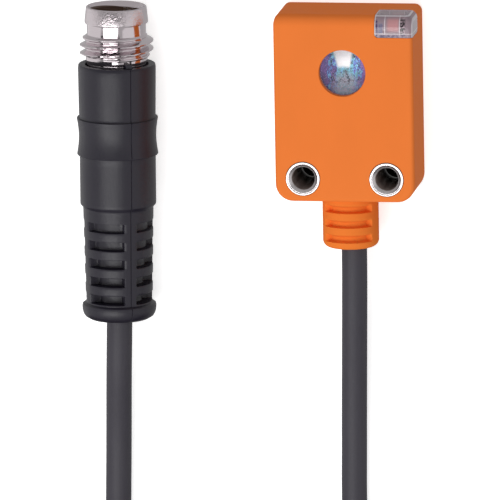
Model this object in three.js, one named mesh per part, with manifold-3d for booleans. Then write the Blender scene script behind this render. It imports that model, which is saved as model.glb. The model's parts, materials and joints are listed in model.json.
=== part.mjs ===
// Small cuboid photoelectric sensor on a short cable with an M8-type plug.
// Millimetres, +Z up. The sensor lies on its mounting face (z = 0) with the lens facing up,
// the cable leaves towards -Y, and the origin is midway between the two bush axes.
import * as THREE from 'three';
import { mergeVertices } from 'three/addons/utils/BufferGeometryUtils.js';
import Module from 'manifold-3d';

const wasm = await Module();
wasm.setup();

// ---------------------------------------------------------------- driving dimensions
const CLEARANCE = 0.05;              // gap between fitted pieces
const CORD_GAP = 0.3;                // gap where a cord's solid meets a neighbour face to face

// sensor housing
const HEAD_WIDTH = 15.0;
const HEAD_DEPTH = 8.0;              // mounting face to front face
const HEAD_ABOVE = 17.7;             // bush axes to the top edge
const HEAD_BELOW = 2.5;              // bush axes to the cable end
const WALL = 0.9;
const COVER_THICKNESS = 0.9;
const LOWER_CORNER = 1.9;
const UPPER_CORNER = 0.8;
const FRONT_EDGE = 0.45;             // small radius round the front face
const TOP_EDGE = 1.2;                // larger radius along the top front edge

// mounting bushes
const BUSH_PITCH = 9.0;
const BUSH_DIAMETER = 3.65;
const BUSH_BORE = 2.5;
const BUSH_PROUD = 0.05;
const BUSH_RIM = 0.3;                // width of the flat rim
const BUSH_STEP = 0.08;              // fine steps and chamfers at the rim
const BUSH_COUNTERSINK = 0.45;
const BUSH_TAIL_CHAMFER = 0.2;
const BOSS_WALL = 0.6;

// optics
const LENS_X = -0.11;
const LENS_DROP = 6.22;              // top edge down to the lens axis
const LENS_DIAMETER = 5.0;
const LENS_FLANGE = 0.4;             // radial width of the flange behind the front wall
const LENS_FLANGE_THICKNESS = 0.7;
const LENS_RIM_DEPTH = 0.2;          // front face down to the dome's rim
const LENS_PROUD = 0.22;
const SEAL_THICKNESS = 0.25;
const TUBE_WALL = 0.4;
const APERTURE = 1.6;
const APERTURE_HEIGHT = 1.6;         // board up to the aperture disc
const APERTURE_THICKNESS = 0.3;
const DIODE_SIZE = 2.0;
const DIODE_THICKNESS = 1.05;

// indicator window in the upper right corner
const WINDOW_WIDTH = 4.05;
const WINDOW_HEIGHT = 2.3;
const WINDOW_DEPTH = 4.0;
const WINDOW_WALL = 0.55;
const WINDOW_CORNER = 0.4;
const LAMP_HEIGHT = 1.1;
const LAMP_LIFT = 0.1;               // gap between the well's floor and the lamps

// circuit board
const BOARD_THICKNESS = 0.6;
const BOARD_HEIGHT = 0.7;            // gap between back cover and board
const SMALL_CORNER = 0.3;            // corner radius of the cavity, board and cover lip
const CAN_SIZE = 3.4;
const CAN_HEIGHT = 1.5;
const CAN_SHEET = 0.2;

// strain relief and cable
const CABLE_DIAMETER = 2.75;
const CABLE_X = 0.34;                // the cable leaves a little off the strain relief's axis
const CABLE_Z = 4.0;
const HEAD_CABLE_TOP = 1.0;          // where the jacket ends inside the housing
const CLAMP_LOW = -1.3;
const CLAMP_HIGH = 0.4;
const CLAMP_WALL = 0.25;
const RELIEF_DIAMETER = 6.0;
const RELIEF_LENGTH = 5.5;
const RELIEF_NECK_WALL = 1.05;       // jacket out to the neck in the housing wall
const RELIEF_ROUND = 0.8;            // length of the rounded end
const RELIEF_GROOVE_FIRST = 0.6;     // housing down to the first groove
const RELIEF_GROOVE_DEPTH = 0.75;
const RELIEF_GROOVES = 3;
const RELIEF_GROOVE_WIDTH = 0.82;
const RELIEF_GROOVE_PITCH = 1.6;
const RELIEF_GROOVE_ARC = 112;       // degrees, front and back
const WIRE_DIAMETER = 0.8;
const WIRE_CIRCLE = 0.6;             // radius that the wires stand on inside the cable

// plug
const PLUG_X = -25.07;
const PLUG_LEAN = 0.47;              // degrees that the plug lies turned about Z
const PLUG_Z = 4.35;
const SLEEVE_TOP = 17.83;
const THREAD_DIAMETER = 7.9;
const THREAD_ROOT = 6.6;
const THREAD_PITCH = 0.875;
const THREAD_START = -0.1;           // height of a crest facing +Z, to a whole pitch
const THREAD_TOP = 14.75;
const THREAD_BOTTOM = 12.3;
const SLEEVE_WALL = 0.6;             // thread root in to the bore
const SLEEVE_MOUTH = 0.35;           // how much the bore's radius opens at its end
const SLEEVE_MOUTH_DEPTH = 0.55;
const SLEEVE_TAIL = 9.2;
const SLEEVE_UNDERCUT = 0.13;        // how far the groove under the snap collar lies inside the root
const SNAP_LOW = 16.0;
const SNAP_EDGE = 0.1;
const SNAP_BAND = 0.24;              // straight part of the snap collar
const SNAP_PROUD = 0.1;              // snap collar outside the thread root
const SNAP_TIP_INSET = 0.07;         // its tip inside the thread root
const NOTCH_ARC = 16;                // degrees cut out of the sleeve for the key
const SHELL_TOP = 11.6;              // upper face of the moulded plug shell
const SHELL_TOP_DIAMETER = 8.34;
const SHELL_LOWER_DIAMETER = 8.14;
const SHELL_EDGE = 0.15;
const SHELL_RECESS = 0.15;           // width of the shallow recess round the sleeve
const SHELL_RECESS_DEPTH = 0.5;
const SHELL_LEDGE = 0.4;             // ledge under the carrier: sleeve bore in to the cavity
const CAVITY_END = -1.0;
const COLLAR_TOP = 5.82;
const COLLAR_BOTTOM = 1.77;
const COLLAR_DIAMETER = 8.7;
const COLLAR_WAIST = 0.21;           // depth of the grip's hollow
const BOOT_TOP = -3.96;
const BOOT_STEP = 0.38;              // height of the slope from boot to shell
const BOOT_END = -16.25;
const BOOT_DIAMETER = 7.54;
const BOOT_TIP_DIAMETER = 7.1;
const FLANGE_DIAMETER = 7.96;
const FLANGE_LENGTH = 1.9;
const SLOT_ROWS = 5;
const SLOT_PITCH = 1.97;
const SLOT_HEIGHT = 0.93;
const SLOT_FIRST = -6.26;            // lower edge of the first row
const SLOT_CORE = 3.1;               // radius at the first row's slot floor
const SLOT_CORE_FALL = 0.17;         // how much deeper each row's floor lies than the last
const SLOTS_ROUND = 4;
const WEB_ARC = 24;                  // degrees of material between slots
const KEY_ANGLE = 30;                // degrees from +Z towards +X
const KEY_ARC = 13;
const KEY_PROUD = 0.45;              // key outside the thread root
const KEY_RISE = 0.45;               // key above the shell's upper face
const PIN_DIAMETER = 1.0;
const PIN_SHARE = 0.463;             // contacts' circle as a share of the sleeve's bore
const PIN_TAIL = 8.3;
const PIN_DEPTH = 1.4;               // sleeve's open end down to the contact tips
const PIN_CHAMFER = 0.25;
const CARRIER_TOP = 12.6;
const FILLER_LOW = 0.4;
const FILLER_HIGH = 7.0;
const FILLER_ROOM = 0.5;             // contacts' circle out to the filler's bore
const PLUG_CABLE_TOP = -0.6;         // where the jacket ends inside the plug

// coil of spare cable
const COIL_X = -13.4;
const COIL_Y = -54.4;
const COIL_OUTER = 16.9;
const COIL_INNER = 11.0;
const COIL_BASE = 0.7;
const COIL_TOP = 5.75;
const COIL_CORNER = 1.0;
const TIE_THICKNESS = 0.4;
const TIE_WIDTH = 2.5;
const TIE_LOCK_WIDTH = 3.2;
const TIE_LOCK_LENGTH = 2.6;
const TIE_LOCK_HEIGHT = 1.6;

// ---------------------------------------------------------------- shape helpers
const degrees = THREE.MathUtils.degToRad;
const FINE = 32;                     // segments round the pieces that show
const COARSE = 24;                   // segments round small and hidden pieces
const EDGE = 0.1;                    // small chamfers
const BEYOND = 1;                    // how far a cutting shape reaches past what it cuts

// A closed manifold from a three.js geometry.
function solid(geometry) {
  const bare = geometry.clone();
  bare.deleteAttribute('normal');
  bare.deleteAttribute('uv');
  const merged = mergeVertices(bare, 1e-4);
  const index = merged.index.array;
  const kept = [];
  for (let i = 0; i < index.length; i += 3) {
    const [a, b, c] = [index[i], index[i + 1], index[i + 2]];
    if (a !== b && b !== c && c !== a) kept.push(a, b, c);
  }
  const mesh = new wasm.Mesh({
    numProp: 3,
    vertProperties: new Float32Array(merged.attributes.position.array),
    triVerts: new Uint32Array(kept),
  });
  return new wasm.Manifold(mesh);
}

// A three.js geometry from a manifold.
function surface(manifold) {
  const mesh = manifold.getMesh();
  const geometry = new THREE.BufferGeometry();
  geometry.setAttribute('position', new THREE.BufferAttribute(mesh.vertProperties, 3));
  geometry.setIndex(new THREE.BufferAttribute(mesh.triVerts, 1));
  geometry.computeVertexNormals();
  return geometry;
}

function cut(body, tools) {
  let result = body;
  for (const tool of tools) result = result.subtract(tool);
  return result;
}

function join(body, others) {
  let result = body;
  for (const other of others) result = result.add(other);
  return result;
}

// A box between two corners.
function block(low, high) {
  const geometry = new THREE.BoxGeometry(high[0] - low[0], high[1] - low[1], high[2] - low[2]);
  geometry.translate((low[0] + high[0]) / 2, (low[1] + high[1]) / 2, (low[2] + high[2]) / 2);
  return geometry;
}

// A profile of [radius, height] points turned about the Y axis. It starts and ends on the
// axis, or closes on itself.
function turned(profile, segments) {
  const loop = profile[0][0] === 0 ? profile : [...profile, profile[0]];
  let area = 0;
  for (let i = 0; i + 1 < loop.length; i += 1) {
    area += loop[i][0] * loop[i + 1][1] - loop[i + 1][0] * loop[i][1];
  }
  const ordered = area > 0 ? loop : [...loop].reverse();
  return new THREE.LatheGeometry(ordered.map(([r, y]) => new THREE.Vector2(r, y)), segments);
}

// The same, with its axis along Z.
function turnedUp(profile, segments) {
  const geometry = turned(profile, segments);
  geometry.rotateX(Math.PI / 2);
  return geometry;
}

// A round rod along Y with small chamfers.
function rod(radius, low, high, chamfer, segments) {
  return turned([
    [0, low],
    [radius - chamfer, low],
    [radius, low + chamfer],
    [radius, high - chamfer],
    [radius - chamfer, high],
    [0, high],
  ], segments);
}

// A rectangle with its own radius at the lower and upper corners.
function panel(x0, y0, x1, y1, lower, upper) {
  const shape = new THREE.Shape();
  shape.absarc(x1 - lower, y0 + lower, lower, -Math.PI / 2, 0, false);
  shape.absarc(x1 - upper, y1 - upper, upper, 0, Math.PI / 2, false);
  shape.absarc(x0 + upper, y1 - upper, upper, Math.PI / 2, Math.PI, false);
  shape.absarc(x0 + lower, y0 + lower, lower, Math.PI, 1.5 * Math.PI, false);
  return shape;
}

// A panel raised along Z, with an optional rounded rim that stays inside its outline.
function slab(shape, low, high, rim, curveSegments = 6) {
  const geometry = new THREE.ExtrudeGeometry(shape, {
    depth: high - low - 2 * rim,
    bevelEnabled: rim > 0,
    bevelThickness: rim,
    bevelSize: rim,
    bevelOffset: -rim,
    bevelSegments: 3,
    curveSegments,
  });
  geometry.translate(0, 0, low + rim);
  return geometry;
}

// A wedge of a ring about the Y axis, centred on an angle from +Z towards +X.
function ringWedge(inner, outer, low, high, centre, arc) {
  const start = degrees(90 - centre - arc / 2);
  const end = degrees(90 - centre + arc / 2);
  const shape = new THREE.Shape();
  shape.absarc(0, 0, outer, start, end, false);
  shape.absarc(0, 0, inner, end, start, true);
  const geometry = new THREE.ExtrudeGeometry(shape, {
    depth: high - low, bevelEnabled: false, curveSegments: 4,
  });
  geometry.rotateX(Math.PI / 2);
  geometry.translate(0, high, 0);
  return geometry;
}

// A round tube along a smooth curve through the given points.
function tube(points, diameter, steps, sides) {
  const curve = new THREE.CatmullRomCurve3(points.map((p) => new THREE.Vector3(...p)));
  const section = new THREE.Shape();
  for (let i = 0; i < sides; i += 1) {
    const angle = (2 * Math.PI * i) / sides;
    const x = (diameter / 2) * Math.cos(angle);
    const y = (diameter / 2) * Math.sin(angle);
    if (i === 0) section.moveTo(x, y);
    else section.lineTo(x, y);
  }
  section.closePath();
  return new THREE.ExtrudeGeometry(section, { steps, bevelEnabled: false, extrudePath: curve });
}

// A cylinder about Y whose side is a right-hand thread that fades out at both ends.
function threadedRod(root, crest, pitch, low, high) {
  const rows = Math.ceil((6 * (high - low)) / pitch);
  const geometry = new THREE.CylinderGeometry(root, root, high - low, FINE, rows);
  geometry.translate(0, (high + low) / 2, 0);
  const place = geometry.attributes.position;
  for (let i = 0; i < place.count; i += 1) {
    const x = place.getX(i);
    const y = place.getY(i);
    const z = place.getZ(i);
    const radius = Math.hypot(x, z);
    if (radius < root / 2) continue;
    const turn = Math.atan2(x, z) / (2 * Math.PI);
    const phase = (y - THREAD_START) / pitch - turn;
    const height = 2 * Math.abs(phase - Math.floor(phase) - 0.5);
    const ridge = THREE.MathUtils.clamp((height - 0.15) / 0.7, 0, 1);
    const fade = THREE.MathUtils.clamp((2 * Math.min(y - low, high - y)) / pitch, 0, 1);
    const wanted = root + (crest - root) * ridge * fade;
    place.setX(i, (x * wanted) / radius);
    place.setZ(i, (z * wanted) / radius);
  }
  return geometry;
}

// ---------------------------------------------------------------- scene
const sensor = new THREE.Group();
const head = new THREE.Group();
const plug = new THREE.Group();
plug.position.set(PLUG_X, 0, PLUG_Z);
plug.rotation.z = -degrees(PLUG_LEAN);
sensor.add(head, plug);

function finish(color, roughness, metalness = 0) {
  return new THREE.MeshStandardMaterial({ color, roughness, metalness });
}

function put(group, name, geometry, material) {
  const mesh = new THREE.Mesh(geometry, material);
  mesh.name = name;
  group.add(mesh);
  return mesh;
}

const ORANGE = 0xec803f;
const BLACK = 0x323033;
const CABLE_GREY = 0x464448;
const NICKEL = 0xc8bec3;

// ---------------------------------------------------------------- housing
const halfWidth = HEAD_WIDTH / 2;
const boardLow = COVER_THICKNESS + BOARD_HEIGHT;
const boardTop = boardLow + BOARD_THICKNESS;
const innerFront = HEAD_DEPTH - WALL;
const bushRadius = BUSH_DIAMETER / 2;
const bossRadius = bushRadius + CLEARANCE + BOSS_WALL;
const bushXs = { left: -BUSH_PITCH / 2, right: BUSH_PITCH / 2 };
const cableRadius = CABLE_DIAMETER / 2;
const cableHole = cableRadius + CLEARANCE;
const reliefNeck = cableRadius + RELIEF_NECK_WALL;
const clampRadius = cableHole + CLAMP_WALL;
const lensY = HEAD_ABOVE - LENS_DROP;
const lensBody = LENS_DIAMETER / 2 - CLEARANCE;
const flangeRadius = LENS_DIAMETER / 2 + LENS_FLANGE;

function alongZ(radius, low, high, x, y, segments = FINE) {
  const geometry = turnedUp([[0, low], [radius, low], [radius, high], [0, high]], segments);
  geometry.translate(x, y, 0);
  return solid(geometry);
}

function alongY(radius, low, high, x, z, segments = COARSE) {
  const geometry = turned([[0, low], [radius, low], [radius, high], [0, high]], segments);
  geometry.translate(x, 0, z);
  return solid(geometry);
}

// The outside of the sensor: a rounded block with a softer top front edge.
function envelope() {
  const outline = panel(-halfWidth, -HEAD_BELOW, halfWidth, HEAD_ABOVE, LOWER_CORNER, UPPER_CORNER);
  const centreY = HEAD_ABOVE - TOP_EDGE;
  const centreZ = HEAD_DEPTH - TOP_EDGE;
  const waste = new THREE.Shape();
  waste.absarc(centreY, centreZ, TOP_EDGE, 0, Math.PI / 2, false);
  waste.lineTo(centreY, HEAD_DEPTH + BEYOND);
  waste.lineTo(HEAD_ABOVE + BEYOND, HEAD_DEPTH + BEYOND);
  waste.lineTo(HEAD_ABOVE + BEYOND, centreZ);
  const geometry = new THREE.ExtrudeGeometry(waste, {
    depth: HEAD_WIDTH + 2 * BEYOND,
    bevelEnabled: false,
    curveSegments: 6,
  });
  const turnToX = new THREE.Matrix4().makeBasis(
    new THREE.Vector3(0, 1, 0), new THREE.Vector3(0, 0, 1), new THREE.Vector3(1, 0, 0),
  );
  geometry.applyMatrix4(turnToX);
  geometry.translate(-halfWidth - BEYOND, 0, 0);
  return solid(slab(outline, -COVER_THICKNESS, HEAD_DEPTH, FRONT_EDGE)).subtract(solid(geometry));
}

const outside = envelope();
const windowLow = [halfWidth - WINDOW_WIDTH, HEAD_ABOVE - WINDOW_HEIGHT, HEAD_DEPTH - WINDOW_DEPTH];
const beyond = [halfWidth + BEYOND, HEAD_ABOVE + BEYOND, HEAD_DEPTH + BEYOND];

// The corner that the indicator window fills, grown by a gap, with a rounded inner corner.
function windowCorner(gap) {
  const radius = WINDOW_CORNER;
  const shape = new THREE.Shape();
  const [x, y, z] = windowLow.map((value) => value - gap);
  shape.moveTo(x, beyond[1]);
  shape.lineTo(x, y + radius);
  shape.absarc(x + radius, y + radius, radius, Math.PI, 1.5 * Math.PI, false);
  shape.lineTo(beyond[0], y);
  shape.lineTo(beyond[0], beyond[1]);
  return solid(slab(shape, z, beyond[2], 0));
}

function housingBody() {
  const cavity = panel(
    -halfWidth + WALL, -HEAD_BELOW + WALL, halfWidth - WALL, HEAD_ABOVE - WALL,
    LOWER_CORNER - WALL, SMALL_CORNER,
  );
  const backCut = block(
    [-halfWidth - BEYOND, -HEAD_BELOW - BEYOND, -HEAD_DEPTH],
    [halfWidth + BEYOND, HEAD_ABOVE + BEYOND, COVER_THICKNESS],
  );
  const windowBacking = windowLow.map((value) => value - WALL);
  const hollow = solid(slab(cavity, COVER_THICKNESS - BEYOND, innerFront, 0));
  const inside = join(
    alongZ(bossRadius, 0, HEAD_DEPTH, bushXs.left, 0),
    [
      alongZ(bossRadius, 0, HEAD_DEPTH, bushXs.right, 0),
      solid(block(windowBacking, beyond)),
    ],
  );
  const walls = outside.subtract(hollow).add(outside.intersect(inside));
  const ledWell = solid(block(
    [windowLow[0] + WINDOW_WALL, windowLow[1] + WINDOW_WALL, 0],
    [halfWidth - WALL, HEAD_ABOVE - WALL, windowLow[2] + BEYOND],
  ));
  return cut(walls, [
    solid(backCut),
    alongZ(bushRadius + CLEARANCE, -BEYOND, HEAD_DEPTH + BEYOND, bushXs.left, 0),
    alongZ(bushRadius + CLEARANCE, -BEYOND, HEAD_DEPTH + BEYOND, bushXs.right, 0),
    alongZ(LENS_DIAMETER / 2, BEYOND, HEAD_DEPTH + BEYOND, LENS_X, lensY),
    windowCorner(CLEARANCE),
    ledWell,
    alongY(reliefNeck + CLEARANCE, -HEAD_BELOW - BEYOND, -HEAD_BELOW + WALL, 0, CABLE_Z),
    alongY(clampRadius + CLEARANCE, CLAMP_LOW - CLEARANCE, CLAMP_HIGH + CLEARANCE, CABLE_X, CABLE_Z),
  ]);
}

function backCover() {
  const rimStart = COVER_THICKNESS - CLEARANCE;
  const cover = outside.intersect(solid(block(
    [-halfWidth - BEYOND, -HEAD_BELOW - BEYOND, 0],
    [halfWidth + BEYOND, HEAD_ABOVE + BEYOND, rimStart],
  )));
  const inset = WALL + CLEARANCE;
  const lip = panel(
    -halfWidth + inset, -HEAD_BELOW + inset + bossRadius * 2, halfWidth - inset, HEAD_ABOVE - inset,
    SMALL_CORNER, SMALL_CORNER,
  );
  const recess = panel(
    -halfWidth + 2 * WALL, -HEAD_BELOW + inset + bossRadius * 2 + WALL,
    halfWidth - 2 * WALL, HEAD_ABOVE - 2 * WALL, SMALL_CORNER, SMALL_CORNER,
  );
  const lipBlock = solid(slab(lip, rimStart - EDGE, boardLow - CLEARANCE, 0));
  const lipRing = lipBlock.subtract(solid(slab(recess, rimStart - BEYOND, boardLow + BEYOND, 0)));
  return cut(cover.add(lipRing), [
    alongZ(bushRadius + CLEARANCE, -BEYOND, HEAD_DEPTH, bushXs.left, 0),
    alongZ(bushRadius + CLEARANCE, -BEYOND, HEAD_DEPTH, bushXs.right, 0),
  ]);
}

put(head, 'housing_body', surface(housingBody()), finish(ORANGE, 0.55));
put(head, 'back_cover', surface(backCover()), finish(ORANGE, 0.6));

// ---------------------------------------------------------------- mounting bushes
function bush() {
  const top = HEAD_DEPTH + BUSH_PROUD;
  const bore = BUSH_BORE / 2;
  return turnedUp([
    [bore + BUSH_TAIL_CHAMFER, 0],
    [bushRadius - EDGE, 0],
    [bushRadius, EDGE],
    [bushRadius, top - BUSH_STEP],
    [bushRadius - BUSH_STEP, top],
    [bushRadius - BUSH_RIM, top],
    [bushRadius - BUSH_RIM - BUSH_STEP, top - BUSH_STEP],
    [bore + EDGE, top - 2 * BUSH_STEP],
    [bore, top - BUSH_COUNTERSINK],
    [bore, BUSH_TAIL_CHAMFER],
  ], FINE);
}

for (const [side, x] of Object.entries(bushXs)) {
  put(head, `bush_${side}`, bush(), finish(NICKEL, 0.25, 1)).position.x = x;
}

// ---------------------------------------------------------------- optics
const flangeTop = innerFront - SEAL_THICKNESS - 2 * CLEARANCE;
const flangeBase = flangeTop - LENS_FLANGE_THICKNESS;

function lens() {
  const rim = HEAD_DEPTH - LENS_RIM_DEPTH;
  const rise = HEAD_DEPTH + LENS_PROUD - rim;
  const dome = [];
  const steps = 5;
  for (let i = 0; i <= steps; i += 1) {
    const share = 1 - i / steps;
    dome.push([lensBody * share, rim + rise * (1 - share * share)]);
  }
  return turnedUp([
    [0, flangeBase],
    [flangeRadius, flangeBase],
    [flangeRadius, flangeTop],
    [lensBody, flangeTop],
    ...dome,
  ], FINE);
}

function ring(inner, outer, low, high, segments = COARSE) {
  return turnedUp([[inner, low], [outer, low], [outer, high], [inner, high]], segments);
}

const tubeTop = flangeBase - CLEARANCE;
const tubeInner = flangeRadius - TUBE_WALL;
const apertureLow = boardTop + APERTURE_HEIGHT;
const partBase = boardTop + CLEARANCE;
const halfDiode = DIODE_SIZE / 2;
const optics = new THREE.Group();
optics.position.set(LENS_X, lensY, 0);
head.add(optics);
put(optics, 'lens', lens(), finish(0x5a63a8, 0.1));
put(optics, 'lens_seal', ring(lensBody + 2 * CLEARANCE, flangeRadius, flangeTop + CLEARANCE,
  innerFront - CLEARANCE), finish(0x202020, 0.8));
put(optics, 'optics_tube', ring(tubeInner, flangeRadius, partBase, tubeTop),
  finish(0x1c1c1e, 0.7));
put(optics, 'aperture_disc', ring(APERTURE / 2, tubeInner - CLEARANCE, apertureLow,
  apertureLow + APERTURE_THICKNESS), finish(0x151515, 0.8));
put(optics, 'receiver_diode', block([-halfDiode, -halfDiode, partBase],
  [halfDiode, halfDiode, partBase + DIODE_THICKNESS]), finish(0x22242a, 0.3));

// ---------------------------------------------------------------- indicator window
// Clear corner piece with a well behind it for the two signal lamps.
function indicatorWindow() {
  const well = block(
    [windowLow[0] + WINDOW_WALL, windowLow[1] + WINDOW_WALL, 0],
    [halfWidth - WALL, HEAD_ABOVE - WALL, HEAD_DEPTH - WALL],
  );
  return outside.intersect(windowCorner(0)).subtract(solid(well));
}

put(head, 'indicator_window', surface(indicatorWindow()), finish(0xc7bcc2, 0.1));

const wellLeft = windowLow[0] + WINDOW_WALL + 2 * CLEARANCE;
const wellRight = halfWidth - WALL - 2 * CLEARANCE;
const wellLow = windowLow[1] + WINDOW_WALL + 2 * CLEARANCE;
const wellHigh = HEAD_ABOVE - WALL - 2 * CLEARANCE;
const wellWidth = wellRight - wellLeft;
const lampBase = windowLow[2] + LAMP_LIFT;
const lampTop = lampBase + LAMP_HEIGHT;
const dividerTop = HEAD_DEPTH - WALL - LAMP_LIFT * 4;
// Name, left and right edge as shares of the well, colour, top.
const lamps = [
  ['output_led', 0, 0.62, 0xd99090, lampTop],
  ['lamp_divider', 0.64, 0.76, 0x8d8087, dividerTop],
  ['power_led', 0.78, 1, 0x3c3436, lampTop],
];
for (const [name, from, to, color, top] of lamps) {
  put(head, name, block(
    [wellLeft + from * wellWidth, wellLow, lampBase],
    [wellLeft + to * wellWidth, wellHigh, top],
  ), finish(color, 0.3));
}

// ---------------------------------------------------------------- electronics
const boardEdge = WALL + 3 * CLEARANCE;
const boardBottom = bossRadius + SMALL_CORNER;
const boardRight = halfWidth - boardEdge;
const boardUpper = HEAD_ABOVE - boardEdge;
put(head, 'circuit_board', slab(
  panel(-boardRight, boardBottom, boardRight, boardUpper, SMALL_CORNER, SMALL_CORNER),
  boardLow, boardTop, 0,
), finish(0x1f5a3c, 0.5));

// Chips, capacitors and resistors: name, width, height, thickness, centre x and y.
const chipRow = lensY - flangeRadius - CAN_SIZE / 2 - 10 * CLEARANCE;
const sideColumn = LENS_X + flangeRadius + 1.6;
const parts = [
  ['sensor_chip', 2.6, 2.6, 0.8, 0, chipRow],
  ['output_driver', 1.7, 1.5, 0.7, -3.6, chipRow],
  ['regulator', 1.5, 1.7, 0.9, 3.6, chipRow],
  ['capacitor_1', 1.6, 0.8, 0.8, -sideColumn, lensY + 1.8],
  ['capacitor_2', 1.6, 0.8, 0.8, -sideColumn, lensY + 0.4],
  ['capacitor_3', 1.6, 0.8, 0.8, -sideColumn, lensY - 1.0],
  ['resistor_1', 1.0, 0.5, 0.35, sideColumn, lensY + 1.8],
  ['resistor_2', 1.0, 0.5, 0.35, sideColumn, lensY + 0.8],
  ['resistor_3', 1.0, 0.5, 0.35, sideColumn, lensY - 0.2],
  ['resistor_4', 1.0, 0.5, 0.35, sideColumn, lensY - 1.2],
];
for (const [name, width, height, thick, x, y] of parts) {
  put(head, name, block(
    [x - width / 2, y - height / 2, partBase],
    [x + width / 2, y + height / 2, partBase + thick],
  ), finish(0x2b2b2e, 0.5));
}

// A folded metal can over the sensor chip, open towards the board.
function shieldCan() {
  const half = CAN_SIZE / 2;
  const hollow = half - CAN_SHEET;
  const top = partBase + CAN_HEIGHT;
  const outer = block([-half, chipRow - half, partBase], [half, chipRow + half, top]);
  const inner = block(
    [-hollow, chipRow - hollow, partBase - BEYOND],
    [hollow, chipRow + hollow, top - CAN_SHEET],
  );
  return surface(solid(outer).subtract(solid(inner)));
}

put(head, 'shield_can', shieldCan(), finish(0xb8b8bc, 0.35, 1));

// ---------------------------------------------------------------- strain relief and cable end
const reliefRadius = RELIEF_DIAMETER / 2;
const reliefEnd = -HEAD_BELOW - RELIEF_LENGTH;

function strainRelief() {
  const top = -HEAD_BELOW - CLEARANCE;
  const neckTop = -HEAD_BELOW + WALL;
  const quarter = (1 - Math.SQRT1_2) * RELIEF_ROUND;
  const body = solid(turned([
    [0, reliefEnd],
    [reliefRadius - RELIEF_ROUND, reliefEnd],
    [reliefRadius - quarter, reliefEnd + quarter],
    [reliefRadius, reliefEnd + RELIEF_ROUND],
    [reliefRadius, top],
    [reliefNeck, top],
    [reliefNeck, neckTop],
    [0, neckTop],
  ], FINE));
  const grooves = [alongY(cableHole, reliefEnd - BEYOND, neckTop + BEYOND, CABLE_X, 0)];
  for (let row = 0; row < RELIEF_GROOVES; row += 1) {
    const high = -HEAD_BELOW - RELIEF_GROOVE_FIRST - row * RELIEF_GROOVE_PITCH;
    const low = high - RELIEF_GROOVE_WIDTH;
    const floor = reliefRadius - RELIEF_GROOVE_DEPTH;
    for (const centre of [0, 180]) {
      grooves.push(solid(ringWedge(floor, reliefRadius + BEYOND, low, high, centre,
        RELIEF_GROOVE_ARC)));
    }
  }
  return cut(body, grooves);
}

const leadGroup = new THREE.Group();
leadGroup.position.set(0, 0, CABLE_Z);
head.add(leadGroup);
put(leadGroup, 'strain_relief', surface(strainRelief()), finish(0xe7723a, 0.6));

const cableEnd = put(leadGroup, 'cable_end_head',
  rod(cableRadius, reliefEnd, HEAD_CABLE_TOP, EDGE, COARSE), finish(CABLE_GREY, 0.6));
cableEnd.position.x = CABLE_X;
const clamp = put(leadGroup, 'cable_clamp', turned([
  [cableHole, CLAMP_LOW],
  [clampRadius, CLAMP_LOW],
  [clampRadius, CLAMP_HIGH],
  [cableHole, CLAMP_HIGH],
], COARSE), finish(0xb9975a, 0.3, 1));
clamp.position.x = CABLE_X;

// Insulation, colour, and where the contact stands round the plug's axis in degrees.
const wires = [
  ['brown', 0x6b3f22, 90],
  ['blue', 0x2a4f9e, 210],
  ['black', 0x1b1b1b, 330],
];
wires.forEach(([name, color], place) => {
  const across = (place - 1) * 1.5;
  const padZ = boardTop + CLEARANCE + WIRE_DIAMETER / 2;
  const route = [
    [CABLE_X + (place - 1) * 0.9, HEAD_CABLE_TOP + CORD_GAP, CABLE_Z],
    [CABLE_X + (place - 1) * 1.1, HEAD_CABLE_TOP + 1.2, CABLE_Z - 0.25],
    [across, boardBottom + 0.2, padZ + 0.35],
    [across, boardBottom + 1.1, padZ + 0.02],
  ];
  put(head, `head_wire_${name}`, tube(route, WIRE_DIAMETER, 10, 8), finish(color, 0.5));
});

// ---------------------------------------------------------------- plug
const rootRadius = THREAD_ROOT / 2;
const boreRadius = rootRadius - SLEEVE_WALL;
const shellBore = rootRadius + CLEARANCE;
const cavityRadius = boreRadius - SHELL_LEDGE;
const pinCircle = boreRadius * PIN_SHARE;
const fillerBore = pinCircle + FILLER_ROOM;
const sleeveFoot = SHELL_TOP + 0.3;

// Nickel-plated sleeve: snap collar, groove, thread and a tail held in the moulded shell.
function plugSleeve() {
  const undercut = rootRadius - SLEEVE_UNDERCUT;
  const snap = rootRadius + SNAP_PROUD;
  const tip = rootRadius - SNAP_TIP_INSET;
  const mouth = boreRadius + SLEEVE_MOUTH;
  const core = solid(turned([
    [0, SLEEVE_TAIL],
    [rootRadius - EDGE, SLEEVE_TAIL],
    [rootRadius - EDGE, sleeveFoot],
    [rootRadius, sleeveFoot + EDGE],
    [rootRadius, THREAD_BOTTOM + EDGE],
    [undercut, THREAD_TOP],
    [undercut, SNAP_LOW],
    [snap, SNAP_LOW + SNAP_EDGE],
    [snap, SNAP_LOW + SNAP_EDGE + SNAP_BAND],
    [tip, SLEEVE_TOP - CLEARANCE],
    [tip - CLEARANCE, SLEEVE_TOP],
    [0, SLEEVE_TOP],
  ], FINE));
  const thread = solid(threadedRod(
    rootRadius, THREAD_DIAMETER / 2, THREAD_PITCH, THREAD_BOTTOM, THREAD_TOP,
  ));
  const bore = solid(turned([
    [0, SLEEVE_TAIL - BEYOND],
    [boreRadius, SLEEVE_TAIL - BEYOND],
    [boreRadius, SLEEVE_TOP - SLEEVE_MOUTH_DEPTH],
    [mouth, SLEEVE_TOP],
    [mouth, SLEEVE_TOP + BEYOND],
    [0, SLEEVE_TOP + BEYOND],
  ], FINE));
  const notch = ringWedge(boreRadius + 2 * EDGE, THREAD_DIAMETER, SLEEVE_TAIL - BEYOND,
    THREAD_BOTTOM, KEY_ANGLE, NOTCH_ARC);
  return cut(core.add(thread), [bore, solid(notch)]);
}

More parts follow.
